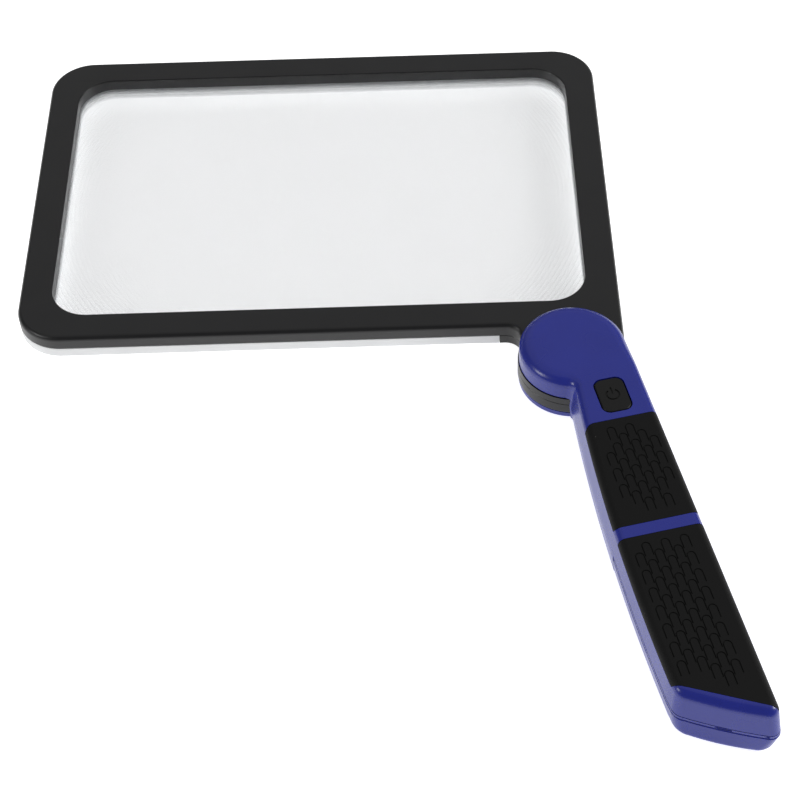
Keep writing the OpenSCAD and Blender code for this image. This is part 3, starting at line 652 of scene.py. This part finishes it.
@dataclass
class LitFrame:
    """The black frame with its white tray, its hinge corner's cover and the sheet lens."""

    width: float = 200.0
    depth: float = 139.5
    corner_r: float = 15.0
    bezel: float = 10.75
    window_r: float = 12.4
    lug_r: float = 17.6
    fillet_r: float = 5.0
    drop: float = 13.4
    low: float = 2.7
    parting: float = 6.55
    top: float = 11.5
    wall: float = 1.6
    plate: float = 1.5
    edge_r: float = 1.6
    window_edge_r: float = 0.4
    lens_low: float = 5.65
    lens_top: float = 7.25
    lap: float = 0.8
    lens_gap: float = 0.15
    seat_z: float = 9.2
    seat_r: float = 17.65
    bore_r: float = 5.0
    bush_wall: float = 2.0
    foot_r: float = 0.6
    lead_slot: tuple[float, float, float, float] = (9.5, 12.5, 167, 285)    # inner and outer radius, bearings
    head_r: float = 2.1
    head_depth: float = 1.4
    tray_screws: tuple[Point2, ...] = (
        (-174.21, 21.59), (-174.21, 144.71), (9.41, 144.71), (-179.2, 83.15), (14.4, 83.15))
    cover_screws: tuple[Point2, ...] = ((-17.8, 16.6), (14.4, 32.9))
    split: Point2 = (-22.8, 37.4)     # the hinge corner's cover fills what lies right of and nearer than this
    split_gap: float = 0.1
    lip: float = 0.14

    def outline(self, inset: float) -> list[Point2]:
        """Gives the outline with its lug.

        Args:
            inset: How far it is drawn in.

        Returns:
            The points, anticlockwise from the lug's left.
        """
        x0, x1 = self.lug_r - self.width, self.lug_r
        y0, y1 = self.drop, self.drop + self.depth
        reach, hollow_y = self.lug_r + self.fillet_r, self.drop - self.fillet_r
        hollow = (-math.sqrt(reach**2 - hollow_y**2), hollow_y)
        meets = math.degrees(math.atan2(hollow[1], hollow[0]))
        c = self.corner_r
        return [
            *arc((0, 0), self.lug_r - inset, meets, 360, 90),
            *arc((x1 - c, y1 - c), c - inset, 0, 90, 24),
            *arc((x0 + c, y1 - c), c - inset, 90, 180, 24),
            *arc((x0 + c, y0 + c), c - inset, 180, 270, 24),
            *arc(hollow, self.fillet_r + inset, 90, meets - 180, 16)[:-1],
        ]

    def window(self, grow: float) -> list[Point2]:
        """Gives the window's outline, grown all round."""
        x0, y0 = self.lug_r - self.width + self.bezel - grow, self.drop + self.bezel - grow
        x1, y1 = self.lug_r - self.bezel + grow, self.drop + self.depth - self.bezel + grow
        return rounded_box((x0, y0), (x1, y1), self.window_r + grow)

    def corner_box(self, gap: float) -> bpy.types.Object:
        """Makes the block that holds the hinge corner's cover, grown by a gap."""
        x, y = self.split[0] - gap, self.split[1] + gap
        return prism([(x, -30), (40, -30), (40, y), (x, y)], BELOW, ABOVE)

    def channel(self, low: float, high: float) -> bpy.types.Object:
        """Makes the space between the outer wall and the window's wall, to carve with."""
        outer = [at_height(self.outline(self.wall), z) for z in (low, high)]
        inner = [at_height(self.window(self.wall), z) for z in (low, high)]
        return holed(outer, inner).build("channel")

    def upper_shell(self) -> bpy.types.Object:
        """Builds the black shell with its rounded edge, window and seat for the handle's disc.

        Returns:
            The shell.
        """
        clear = self.lap + self.lens_gap
        outside = [at_height(self.outline(self.lip), self.parting),
                   at_height(self.outline(0), self.parting + self.lip)]
        outside += [at_height(self.outline(d), self.top - self.edge_r + z)
                    for d, z in rounding(self.edge_r, 8)]
        inside = [at_height(self.window(clear), z) for z in (self.parting, self.lens_top)]
        inside += [at_height(self.window(0), self.lens_top)]
        r = self.window_edge_r
        inside += [at_height(self.window(d), self.top - r + z) for d, z in rounding(r, 5)]
        shell = holed(outside, inside).build("black_upper_shell")
        room = self.channel(self.parting - 1, self.top - self.plate)
        carve(room, Carve.CUT, cylinder((0, 0), self.seat_r + self.wall, self.seat_z - self.plate, ABOVE),
              cylinder((0, 0), self.bore_r + self.bush_wall, 0, ABOVE))
        inner, outer, first, last = self.lead_slot
        slot = arc((0, 0), outer, first, last, 48) + arc((0, 0), inner, last, first, 48)
        carve(shell, Carve.CUT, room, cylinder((0, 0), self.seat_r, self.seat_z, ABOVE, 192),
              cylinder((0, 0), self.bore_r, 0, ABOVE), prism(slot, 0, ABOVE))
        return shell

    def lower_body(self, name: str) -> bpy.types.Object:
        """Builds the whole underside of the frame, from which the tray and the cover are parted."""
        foot, clear = self.foot_r, self.lap + self.lens_gap
        outside = [at_height(self.outline(d), self.low + foot - z) for d, z in reversed(rounding(foot, 5))]
        outside += [at_height(self.outline(0), self.parting - self.lip),
                    at_height(self.outline(self.lip), self.parting)]
        steps = ((foot / 2, self.low), (0, self.low + foot / 2), (0, self.lens_low), (clear, self.lens_low),
                 (clear, self.parting))
        inside = [at_height(self.window(g), z) for g, z in steps]
        body = holed(outside, inside).build(name)
        room = self.channel(self.low + self.plate, ABOVE)
        carve(room, Carve.CUT, cylinder((0, 0), self.bore_r + self.bush_wall, 0, ABOVE + 10))
        carve(body, Carve.CUT, room)
        return body

    def screw_pockets(self, places: Sequence[Point2]) -> list[bpy.types.Object]:
        """Makes the round pockets that the screw heads sit in."""
        return [cylinder(p, self.head_r, 0, self.low + self.head_depth, 48) for p in places]

    def tray(self) -> bpy.types.Object:
        """Builds the white tray under the frame."""
        tray = self.lower_body("opal_tray")
        carve(tray, Carve.CUT, self.corner_box(self.split_gap), *self.screw_pockets(self.tray_screws))
        return tray

    def corner_cover(self) -> bpy.types.Object:
        """Builds the black cover under the hinge corner."""
        cover = self.lower_body("black_corner_cover")
        carve(cover, Carve.KEEP, self.corner_box(0))
        carve(cover, Carve.CUT, cylinder((0, 0), self.bore_r, 0, ABOVE),
              *self.screw_pockets(self.cover_screws))
        return cover

    def lens(self) -> bpy.types.Object:
        """Builds the sheet lens with its slightly broken edges."""
        soft = 0.12
        steps = [(self.lap - soft, self.lens_low), (self.lap, self.lens_low + soft),
                 (self.lap, self.lens_top - soft), (self.lap - soft, self.lens_top)]
        return lofted([at_height(self.window(g), z) for g, z in steps]).build("fresnel_sheet")

    def build(self, finishes: dict[str, bpy.types.Material]) -> None:
        """Builds and dresses the frame's visible pieces.

        Args:
            finishes: Materials by the record's slot names.
        """
        for piece, node, slot in (
            (self.upper_shell(), "frame_upper_shell", "black_abs"),
            (self.tray(), "diffuser_tray", "white_diffuser"),
            (self.corner_cover(), "hinge_corner_cover", "black_abs"),
            (self.lens(), "sheet_lens", "lens_acrylic"),
        ):
            even_shading(piece)
            hand_over(piece, Body.FRAME, [node], finishes[slot])


# ---- handle ----


@dataclass
class Grip:
    """One rubber pad of the handle, seen from above: its ends, its corners and its field of arches."""

    name: str
    node: str
    outline: list[Point2]
    arches: list[Point2]


@dataclass
class Handle:
    """The blue handle with its battery door, rubber pads and power button.

    Its shapes are drawn with the handle along -Y and then turned to the open angle.
    """

    open_angle: float = 12.2
    height: float = 17.3
    length: float = 144.3
    disc_r: float = 17.3
    disc_edge: Point2 = (4.5, 3.4)    # the disc's edge rounds over this width and height
    edge: Point2 = (2.6, 2.6)
    foot_r: float = 1.2
    right: float = 18.0
    flare: float = 14.0
    neck_r: float = 3.0
    sweep_r: float = 717.0
    belly: Point2 = (-10.65, -105.0)
    middle: float = 3.6
    end_slant: float = 29.0
    end_lean: float = 3.8
    end_bulge: float = 0.5
    end_r: float = 3.0
    end_left_r: float = 4.4
    end_foot_r: float = 2.2    # how much rounder the end's corners are at the foot
    end_strip: float = 2.6
    wall: float = 2.0
    side_draft: float = 0.9
    foot_draft: float = 0.7
    door_at: float = 78.4
    door_z: float = 7.0
    door_foot_r: float = 2.4
    gap: float = 0.35
    disc_low: float = 9.5
    slot_r: float = 18.0
    ceiling: float = 14.1
    rubber: float = 1.2
    skirt_z: float = 15.2
    seam: float = 0.12
    button_at: Point2 = (5.8, -24.5)
    button_size: Point2 = (9.4, 13.4)
    button_r: float = 2.6
    button_top: float = 17.4
    flange: float = 0.9
    flange_z: Point2 = (14.6, 15.4)
    rim_foot: float = 2.5    # foot of the wall round the hinge slot
    disc_hollow_r: float = 15.0
    shoulder_r: float = 8.5
    post_r: float = 4.95
    post_foot: float = 2.4
    ribs: tuple[Point2, Point2] = ((79.2, 80.6), (131.1, 132.5))    # distances from the hinge axis
    rib_sides: Point2 = (-7.6, 14.8)
    rib_foot: float = 4.0
    split_bevel: float = 0.3
    groove: tuple[float, float, float] = (8.05, 8.3, 0.35)    # foot, top and depth of the line round the arm
    tongue: tuple[float, float, float] = (10.0, 4.35, 2.4)    # width, reach and root of the door's tongue
    tongue_z: tuple[float, float, float] = (1.2, 2.6, 3.2)    # the root's foot, the tongue's foot, the top
    front_pad: Point2 = (34.2, 74.6)
    rear_pad: float = 79.0
    pad_r: float = 1.6

    def end_at(self, x: float, z: float) -> float:
        """Gives the end face's y at a place across the handle and a height."""
        slope = math.tan(math.radians(self.end_slant))
        return -(self.length - self.end_bulge - self.end_lean * z / self.height + (x - self.middle) * slope)

    def left_at(self, u: float) -> float:
        """Gives the left side's x at a distance from the hinge axis."""
        return self.belly[0] + self.sweep_r - math.sqrt(self.sweep_r**2 - (u + self.belly[1]) ** 2)

    def lean(self, z: float) -> float:
        """Gives how far the sides lean in at a height."""
        if z < self.door_z:
            return self.foot_draft * (1 - z / self.door_z)
        shoulder = self.height - self.edge[1]
        return self.side_draft * (min(z, shoulder) - self.door_z) / (self.height - self.door_z)

    def outline(self, arm_in: float, disc_in: float, z: float) -> list[Point2]:
        """Gives the handle's outline at a height.

        Args:
            arm_in: How far the arm's edge is drawn in.
            disc_in: How far the disc's edge is drawn in.
            z: The height.

        Returns:
            The points, anticlockwise from the disc's right.
        """
        # the neck's hollow touches the disc and the long sweep of the left side
        side = arm_in + self.lean(z)
        disc, sweep = self.disc_r - disc_in, self.sweep_r - side
        hollow = self.neck_r + (arm_in + disc_in) / 2
        sweep_c = Vector((self.belly[0] + self.sweep_r, self.belly[1]))
        reach, a, b = sweep_c.length, disc + hollow, sweep + hollow
        toward = (a * a - b * b + reach * reach) / (2 * reach)
        aside = math.sqrt(a * a - toward * toward)
        unit = sweep_c / reach
        neck = toward * unit + aside * Vector((unit.y, -unit.x))
        bearing = math.degrees(math.atan2(neck.y, neck.x)) % 360
        inward = math.degrees(math.atan2(sweep_c.y - neck.y, sweep_c.x - neck.x))
        foot_y = (sweep_c + (neck - sweep_c) * sweep / b).y
        # the end face slants and leans, between two corners of their own radii
        rounder = self.end_foot_r * (1 - min(1.0, z / self.door_z))
        left_r, right_r = (max(r + rounder, arm_in + 0.05) for r in (self.end_left_r, self.end_r))
        lead = 270 - self.end_slant
        outward = Vector((math.cos(math.radians(lead)), math.sin(math.radians(lead))))
        left_x = self.left_at(self.length - 8) + side - arm_in + left_r
        right_x = self.right - side + arm_in - right_r
        left_c, right_c = (
            (x, self.end_at(x, z) + r / math.cos(math.radians(self.end_slant)))
            for x, r in ((left_x, left_r), (right_x, right_r))
        )
        start = Vector(left_c) + (left_r - arm_in) * outward
        stop = Vector(right_c) + (right_r - arm_in) * outward
        sweep_y = [mix(foot_y, left_c[1], i / 48) for i in range(1, 48)]
        bulge = [start.lerp(stop, t) + 4 * self.end_bulge * t * (1 - t) * outward
                 for t in (i / 12 for i in range(1, 12))]
        taper = [mix(0, 1, i / 8) for i in range(1, 8)]
        return [
            *arc((0, 0), disc, 0, bearing, 132),
            *arc((neck.x, neck.y), hollow, bearing - 180, inward, 16)[1:],
            *((sweep_c.x - math.sqrt(sweep**2 - (y - sweep_c.y) ** 2), y) for y in sweep_y),
            *arc(left_c, left_r - arm_in, 180, lead, 10),
            *((p.x, p.y) for p in bulge),
            *arc(right_c, right_r - arm_in, lead, 360, 14),
            *((self.right - side, mix(right_c[1], -self.flare, t)) for t in (0.25, 0.5, 0.75, 1.0)),
            *((mix(self.right - side, disc, smooth(t)), mix(-self.flare, 0, t)) for t in taper),
        ]

    def rings(self, under: float = 0.0, foot: float | None = None, top: float | None = None) -> list[Ring]:
        """Gives the handle's rings from its foot to its rounded top.

        Args:
            under: How far they lie under the outer surface.
            foot: Radius of the bottom edge, when it isn't the shell's own.
            top: Height to stop at, below the rounded top.

        Returns:
            The rings, from the bottom up.
        """
        r = self.foot_r if foot is None else foot
        stops = [(d + under, d + under, r - z) for d, z in reversed(rounding(r, 8))]
        stops += [(under, under, z) for z in (4.0, 6.0, 7.0, 9.0, 12.0)]
        if top is not None:
            soft = 0.2
            stops = [stop for stop in stops if stop[2] < top - 1.5 * soft]
            stops += [(under, under, top - soft), (under + soft, under + soft, top)]
        else:
            low, high = self.height - under - self.disc_edge[1], self.height - under
            stops += [(self.inset(z, self.edge, under), self.inset(z, self.disc_edge, under), z)
                      for z in (low + h for _, h in rounding(high - low, 16))]
        return [at_height(self.outline(arm, disc, z), z) for arm, disc, z in stops]

    def inset(self, z: float, edge: Point2, under: float) -> float:
        """Gives how far an edge of the given width and height is drawn in at a height near the top."""
        rise = max(0.0, z - (self.height - under - edge[1])) / edge[1]
        return under + edge[0] * (1 - math.sqrt(max(0.0, 1 - rise**2)))

    def slab(self, near: float, far: float, low: float = BELOW, high: float = ABOVE,
             sides: Point2 = (-40, 40)) -> bpy.types.Object:
        """Makes a block across the handle between two distances from the hinge axis and two heights."""
        left, right = sides
        return prism([(left, -far), (right, -far), (right, -near), (left, -near)], low, high)

    def turn(self, piece: bpy.types.Object) -> bpy.types.Object:
        """Turns a piece from the drawing direction to the open handle."""
        piece.data.transform(Matrix.Rotation(math.radians(self.open_angle), 4, "Z"))
        return piece

    def pad_corners(self, corners: Sequence[tuple[float, float, float]]) -> list[Point2]:
        """Rounds the corners of a pad.

        Args:
            corners: Each corner's x, y and radius, anticlockwise.

        Returns:
            The pad's outline.
        """
        points: list[Point2] = []
        count = len(corners)
        for i, (x, y, r) in enumerate(corners):
            at = Vector((x, y))
            before = (Vector(corners[i - 1][:2]) - at).normalized()
            after = (Vector(corners[(i + 1) % count][:2]) - at).normalized()
            half = before.angle(after) / 2
            back = r / math.tan(half)
            centre = at + (before + after).normalized() * (r / math.sin(half))
            first, last = at + before * back - centre, at + after * back - centre
            start = math.atan2(first.y, first.x)
            sweep = (math.atan2(last.y, last.x) - start) % (2 * math.pi)
            points += arc((centre.x, centre.y), r, math.degrees(start), math.degrees(start + sweep), 10)
        return points

    def grips(self, grow: float) -> list[Grip]:
        """Gives the two rubber pads.

        Args:
            grow: How far their outlines are grown.

        Returns:
            The front and the rear pad.
        """
        spare = 0.35    # the outline stands this far outside the sides, which then cut it clean
        bow = 300.0    # radius that eases the long left side
        front_bow, rear_bow, rear_left, tip_r = 54.0, 104.0, 130.0, 3.2
        g, soft = grow, self.pad_r

        def left(u: float) -> float:
            """Gives x just outside the left side."""
            return self.left_at(u) + self.lean(self.height) - spare - g

        right = self.right - self.lean(self.height) + spare + g
        near, far = self.front_pad
        front = self.pad_corners([
            (left(near), -near + g, 4.0), (left(front_bow), -front_bow, bow), (left(far), -far - g, soft),
            (right, -far - g, soft), (right, -near + g, soft)])
        back = self.end_strip / math.cos(math.radians(self.end_slant)) - g

        def end(x: float) -> float:
            """Gives the rear pad's slanted edge."""
            return self.end_at(x, self.height) + back

        near = self.rear_pad
        rear = self.pad_corners([
            (left(near), -near + g, soft), (left(rear_bow), -rear_bow, bow),
            (left(rear_left), end(left(rear_left)), tip_r),
            (right, end(right), 0.8), (right, -near + g, soft)])
        column, pitch = 2.95, 6.4
        columns = [(-4.95 + column * i, pitch / 2 * (i % 2 == 0)) for i in range(7)]

        def tops(first: float, across: int, along: int) -> list[Point2]:
            """Gives the arches' tops as x and distance from the hinge axis, staggered by column."""
            return [(x, first + shift + pitch * k) for x, shift in columns[:across] for k in range(along)]

        # the front arches fill an oval, and the rear ones end along a slant
        (oval_x, oval_u), (half_x, half_u), drop = (5.1, 54.2), (9.4, 17.4), 2.2
        limit, slope = 128.5, 0.6
        front_arches = [(x, -u) for x, u in tops(40.3 - pitch, 7, 7)
                        if ((u + drop - oval_u) / half_u) ** 2 + ((x - oval_x) / half_x) ** 2 < 1]
        rear_arches = [(x, -u) for x, u in tops(81.75, 6, 9) if u + 4.5 < limit + (x + 4) * slope]
        return [Grip("front_rubber_pad", "grip_front", front, front_arches),
                Grip("rear_rubber_pad", "grip_rear", rear, rear_arches)]

    def arch_grooves(self, places: Sequence[Point2]) -> bpy.types.Object:
        """Makes the cutters of the arch-shaped grooves in a pad.

        Args:
            places: The tops of the arches.

        Returns:
            One object with a cutter for each arch.
        """
        solid = Solid()
        radius, leg, deep, wide, narrow, proud = 1.25, 3.6, 0.24, 0.21, 0.08, 0.05
        for x, y in places:
            path = [(x - radius, y - radius - leg), *reversed(arc((x, y - radius), radius, 0, 180, 10)),
                    (x + radius, y - radius - leg)]
            rings = []
            for i, p in enumerate(path):
                ahead = Vector(path[min(i + 1, len(path) - 1)]) - Vector(path[max(i - 1, 0)])
                side = Vector((-ahead.y, ahead.x)).normalized()
                section = ((-wide, proud), (wide, proud), (narrow, -deep), (-narrow, -deep))
                rings.append(solid.add_ring(
                    [(p[0] + side.x * s, p[1] + side.y * s, self.height + h) for s, h in section]))
            for lower, upper in zip(rings, rings[1:]):
                solid.band(lower, upper)
            solid.faces += [tuple(rings[0]), tuple(rings[-1])]
        return solid.build("arch_grooves")

    def button_outline(self, grow: float) -> list[Point2]:
        """Gives the power button's outline, grown all round."""
        (x, y), (w, d) = self.button_at, self.button_size
        low, high = (x - w / 2 - grow, y - d / 2 - grow), (x + w / 2 + grow, y + d / 2 + grow)
        return rounded_box(low, high, self.button_r + grow, 12)

    def upper_shell(self) -> bpy.types.Object:
        """Builds the blue shell: disc, neck, arm, hinge post, battery bay and the seats of its parts.

        Returns:
            The shell.
        """
        shell = lofted(self.rings()).build("blue_upper_shell")
        arm_room = prism(self.outline(self.wall, self.wall, self.ceiling), BELOW, self.ceiling)
        carve(arm_room, Carve.CUT, self.slab(-40, 0, BELOW - 1),
              cylinder((0, 0), self.slot_r + self.wall, self.rim_foot, self.disc_low))
        carve(arm_room, Carve.CUT, *(self.slab(near, far, self.rib_foot, self.ceiling, self.rib_sides)
                                     for near, far in self.ribs))
        split, weld = self.door_z + self.gap, 0.5
        carve(shell, Carve.CUT, arm_room, cylinder((0, 0), self.slot_r, BELOW, self.disc_low, 192),
              cylinder((0, 0), self.disc_hollow_r, self.disc_low - 1, self.ceiling),
              self.slab(self.door_at - self.gap, BEYOND, BELOW, split))
        carve(shell, Carve.JOIN, cylinder((0, 0), self.shoulder_r, self.disc_low, self.ceiling + weld),
              cylinder((0, 0), self.post_r, self.post_foot, self.ceiling + 0.8 * weld))
        foot, top, depth = self.groove
        bevel, hair = self.split_bevel, 0.01
        lines = ((split, split + bevel, bevel, -2 * hair), (foot, top, depth, depth))
        for low, high, low_in, high_in in lines:
            outer = [at_height(self.outline(-2, -2, z), z) for z in (low - hair, high)]
            inner = [at_height(self.outline(d, d, z), z) for d, z in ((low_in, low - hair), (high_in, high))]
            line = holed(outer, inner).build("side_line")
            carve(line, Carve.KEEP, self.slab(self.door_at - self.gap, BEYOND))
            carve(shell, Carve.CUT, line)
        under = self.ceiling - 1
        carve(shell, Carve.CUT, prism(self.button_outline(self.gap), under, ABOVE),
              prism(self.button_outline(self.flange + self.gap), under, self.flange_z[1] + 0.1))
        for grip in self.grips(self.seam):
            seat = prism(grip.outline, self.skirt_z - self.seam, ABOVE)
            carve(seat, Carve.CUT, lofted(self.rings(self.rubber)).build("core"))
            carve(shell, Carve.CUT, seat)
        return shell

    def door(self) -> bpy.types.Object:
        """Builds the battery door with its tongue and thumb grooves."""
        door = lofted(self.rings(foot=self.door_foot_r, top=self.door_z)).build("blue_battery_door")
        carve(door, Carve.KEEP, self.slab(self.door_at, BEYOND))
        (width, reach, root), (root_foot, foot, top) = self.tongue, self.tongue_z
        sides = (self.middle - width / 2, self.middle + width / 2)
        thumb = (self.middle - 7, self.middle + 7)
        wall, floor, groove, groove_top = 2.2, 1.5, 0.8, 0.4
        grooves = [self.door_at + 8 + 2 * i for i in range(5)]
        carve(door, Carve.CUT, prism(self.outline(wall, wall, self.door_z), floor, ABOVE),
              *(self.slab(near, near + groove, BELOW, groove_top, thumb) for near in grooves))
        carve(door, Carve.JOIN, self.slab(self.door_at, self.door_at + root, root_foot, top, sides),
              self.slab(self.door_at - reach, self.door_at + root, foot, top, sides))
        return door

    def pad(self, grip: Grip) -> bpy.types.Object:
        """Builds a rubber pad and engraves its arches.

        Args:
            grip: The pad to build.

        Returns:
            The pad.
        """
        pad = lofted(self.rings(-0.02)).build(grip.name)
        carve(pad, Carve.KEEP, prism(grip.outline, self.skirt_z, ABOVE))
        carve(pad, Carve.CUT, lofted(self.rings(self.rubber - 0.02)).build("core"))
        carve(pad, Carve.CUT, self.arch_grooves(grip.arches))
        return pad

    def button(self) -> bpy.types.Object:
        """Builds the power button with its flange and its engraved sign.

        Returns:
            The button.
        """
        r, (foot, top) = 0.5, self.flange_z
        steps = [(self.flange, foot), (self.flange, top), (0, top)]
        steps += [(-d, self.button_top - r + z) for d, z in rounding(r, 6)]
        button = lofted([at_height(self.button_outline(g), z) for g, z in steps]).build("power_button_cap")
        x, y = self.button_at
        outer, inner, half, bar_foot, bar_top, deep = 2.3, 1.75, 0.27, 0.3, 2.9, 0.28
        low, high = self.button_top - deep, self.button_top + 1
        circle = arc((x, y), outer, 125, 415, 40) + arc((x, y), inner, 415, 125, 40)
        left, right = x - half, x + half
        bar = [(left, y + bar_foot), (right, y + bar_foot), (right, y + bar_top), (left, y + bar_top)]
        carve(button, Carve.CUT, prism(circle, low, high), prism(bar, low, high))
        stem_r, stem_foot = 2.0, 13.8
        carve(button, Carve.JOIN, cylinder((x, y), stem_r, stem_foot, foot + 0.1, 48))
        return button

    def build(self, finishes: dict[str, bpy.types.Material]) -> None:
        """Builds and dresses the handle's visible pieces.

        Args:
            finishes: Materials by the record's slot names.
        """
        pads = [(self.pad(grip), Body.HANDLE, grip.node, "grip_rubber") for grip in self.grips(0)]
        for piece, body, node, slot in (
            (self.upper_shell(), Body.HANDLE, "handle_upper_shell", "blue_abs"),
            (self.door(), Body.DOOR, "battery_door", "blue_abs"),
            *pads,
            (self.button(), Body.BUTTON, "power_button", "button_rubber"),
        ):
            self.turn(piece)
            even_shading(piece)
            hand_over(piece, body, [node], finishes[slot])


# ---- studio ----


@dataclass
class Studio:
    """A back-lit white floor, three soft lights, the sky and the camera. Lengths are in metres."""

    floor_size: float = 6.0
    floor_drop: float = 0.0005
    overhead: float = 6.2
    right: float = 13.0
    side: float = 1.8
    sky: float = 0.22
    eye: Point3 = (-0.04736, -0.41683, 0.47901)
    camera_turn: Point3 = (40.471, 0.847, -1.576)    # in degrees
    focal: float = 87.23
    shift_x: float = -0.05

    def lamp(self, name: str, place: Point3, target: Point3, size: float, power: float) -> None:
        """Adds a square soft light.

        Args:
            name: Name of the light.
            place: Where it stands, in metres.
            target: What it faces.
            size: Length of its side.
            power: Its power in watts.
        """
        data = bpy.data.lights.new(name, "AREA")
        data.size = size
        data.energy = power
        light = bpy.data.objects.new(name, data)
        light.location = place
        light.rotation_euler = (Vector(target) - Vector(place)).to_track_quat("-Z", "Y").to_euler()
        bpy.context.scene.collection.objects.link(light)

    def build(self) -> None:
        """Puts up floor, lights and camera."""
        scene = bpy.context.scene
        half = self.floor_size / 2
        mesh = bpy.data.meshes.new("white_sweep")
        corners = ((-half, -half), (half, -half), (half, half), (-half, half))
        mesh.from_pydata([(x, y, -self.floor_drop) for x, y in corners], [], [(0, 1, 2, 3)])
        floor = bpy.data.objects.new("white_sweep", mesh)
        scene.collection.objects.link(floor)
        floor.data.materials.append(LitPaper("back-lit white paper", "#F4F4F4", 0.9).make())
        world = bpy.data.worlds.new("studio")
        world.use_nodes = True
        world.node_tree.nodes["Background"].inputs[0].default_value = srgb("#FFFFFF")
        world.node_tree.nodes["Background"].inputs[1].default_value = self.sky
        scene.world = world
        self.lamp("overhead", (0.0, 0.9, 1.5), (0.0, 0.0, 0.0), 2.6, self.overhead)
        self.lamp("right softbox", (1.3, 0.0, 0.9), (0.0, 0.0, 0.0), 0.5, self.right)
        self.lamp("left softbox", (-0.8, -0.25, 0.5), (0.0, -0.05, 0.0), 0.25, self.side)
        scene.view_settings.view_transform = "Standard"
        camera = bpy.data.objects.new("camera", bpy.data.cameras.new("camera"))
        camera.location = self.eye
        camera.rotation_euler = [math.radians(a) for a in self.camera_turn]
        camera.data.lens = self.focal
        camera.data.shift_x = self.shift_x
        camera.data.clip_start = 0.01
        scene.collection.objects.link(camera)
        scene.camera = camera


# ---- putting it together ----


def make_finishes() -> dict[str, bpy.types.Material]:
    """Makes one material for each of the record's slots."""
    lens_middle = tuple((a + b) / 2 for a, b in zip(*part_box("sheet_lens")))
    kinds = {
        "black_abs": MouldedAbs("spark-grained black ABS", "#101012", 0.34, second="#0D0D0F", specular=0.42),
        "blue_abs": MouldedAbs("satin blue ABS", "#1B2892", 0.27, second="#19258C"),
        "white_diffuser": OpalPolycarbonate("opal polycarbonate moulding", "#E4E5E6", 0.4),
        # the lens's grey tint is painted shade of the floor under the sheet; its reflections are the sheet's
        # own
        "lens_acrylic": GroovedAcrylic("pressed Fresnel acrylic", "#C8CACC", 0.02, middle=lens_middle),
        "circuit_board": CircuitLaminate("masked glass-fibre laminate", "#0F5A2E", 0.35),
        "lamp": PlainMoulding("phosphor resin", "#E8D46A", 0.4, second="#EFE3A0"),
        "lead_pvc": PlainMoulding("extruded black PVC", "#161616", 0.45, second="#1F1F1F"),
        "screw_steel": WorkedMetal("turned zinc-plated steel", "#B9BCC0", 0.3),
        "spring_steel": WorkedMetal("drawn spring steel", "#A9ACB0", 0.25),
        "nylon": PlainMoulding("moulded nylon", "#E6E4DC", 0.45, second="#EDEBE4"),
        "grip_rubber": MouldedRubber("moulded thermoplastic rubber", "#0A0A0A", 0.6, second="#0D0D0D"),
        "button_rubber": MouldedRubber("moulded button rubber", "#0C0C0C", 0.5, second="#0F0F0F",
                                       sheen_level=0.3),
        "switch_body": PlainMoulding("glass-filled nylon", "#1A1A1C", 0.5, second="#222226"),
        "battery_jacket": ShrinkWrap("printed shrink film", "#B07A3A", 0.25),
        "contact_nickel": WorkedMetal("stamped nickel-plated strip", "#C8C6BE", 0.22),
    }
    return {slot: finish.make() for slot, finish in kinds.items()}


def dress_frame_nodes(finishes: dict[str, bpy.types.Material]) -> None:
    """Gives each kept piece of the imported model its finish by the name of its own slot."""
    for name, node in sorted(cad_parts.items()):
        for slot in node.material_slots:
            kind = slot.material.name.split(".")[0] if slot.material else ""
            if kind in finishes:
                slot.material = finishes[kind]
                log.info("%s: %s", name, slot.material.name)


def main() -> None:
    """Builds the magnifier's looks piece by piece."""
    logging.basicConfig(level=logging.INFO, format="%(name)s: %(message)s")
    finishes = make_finishes()
    dress_frame_nodes(finishes)
    LitFrame().build(finishes)
    Handle().build(finishes)
    Studio().build()


if __name__ == "__main__":
    main()
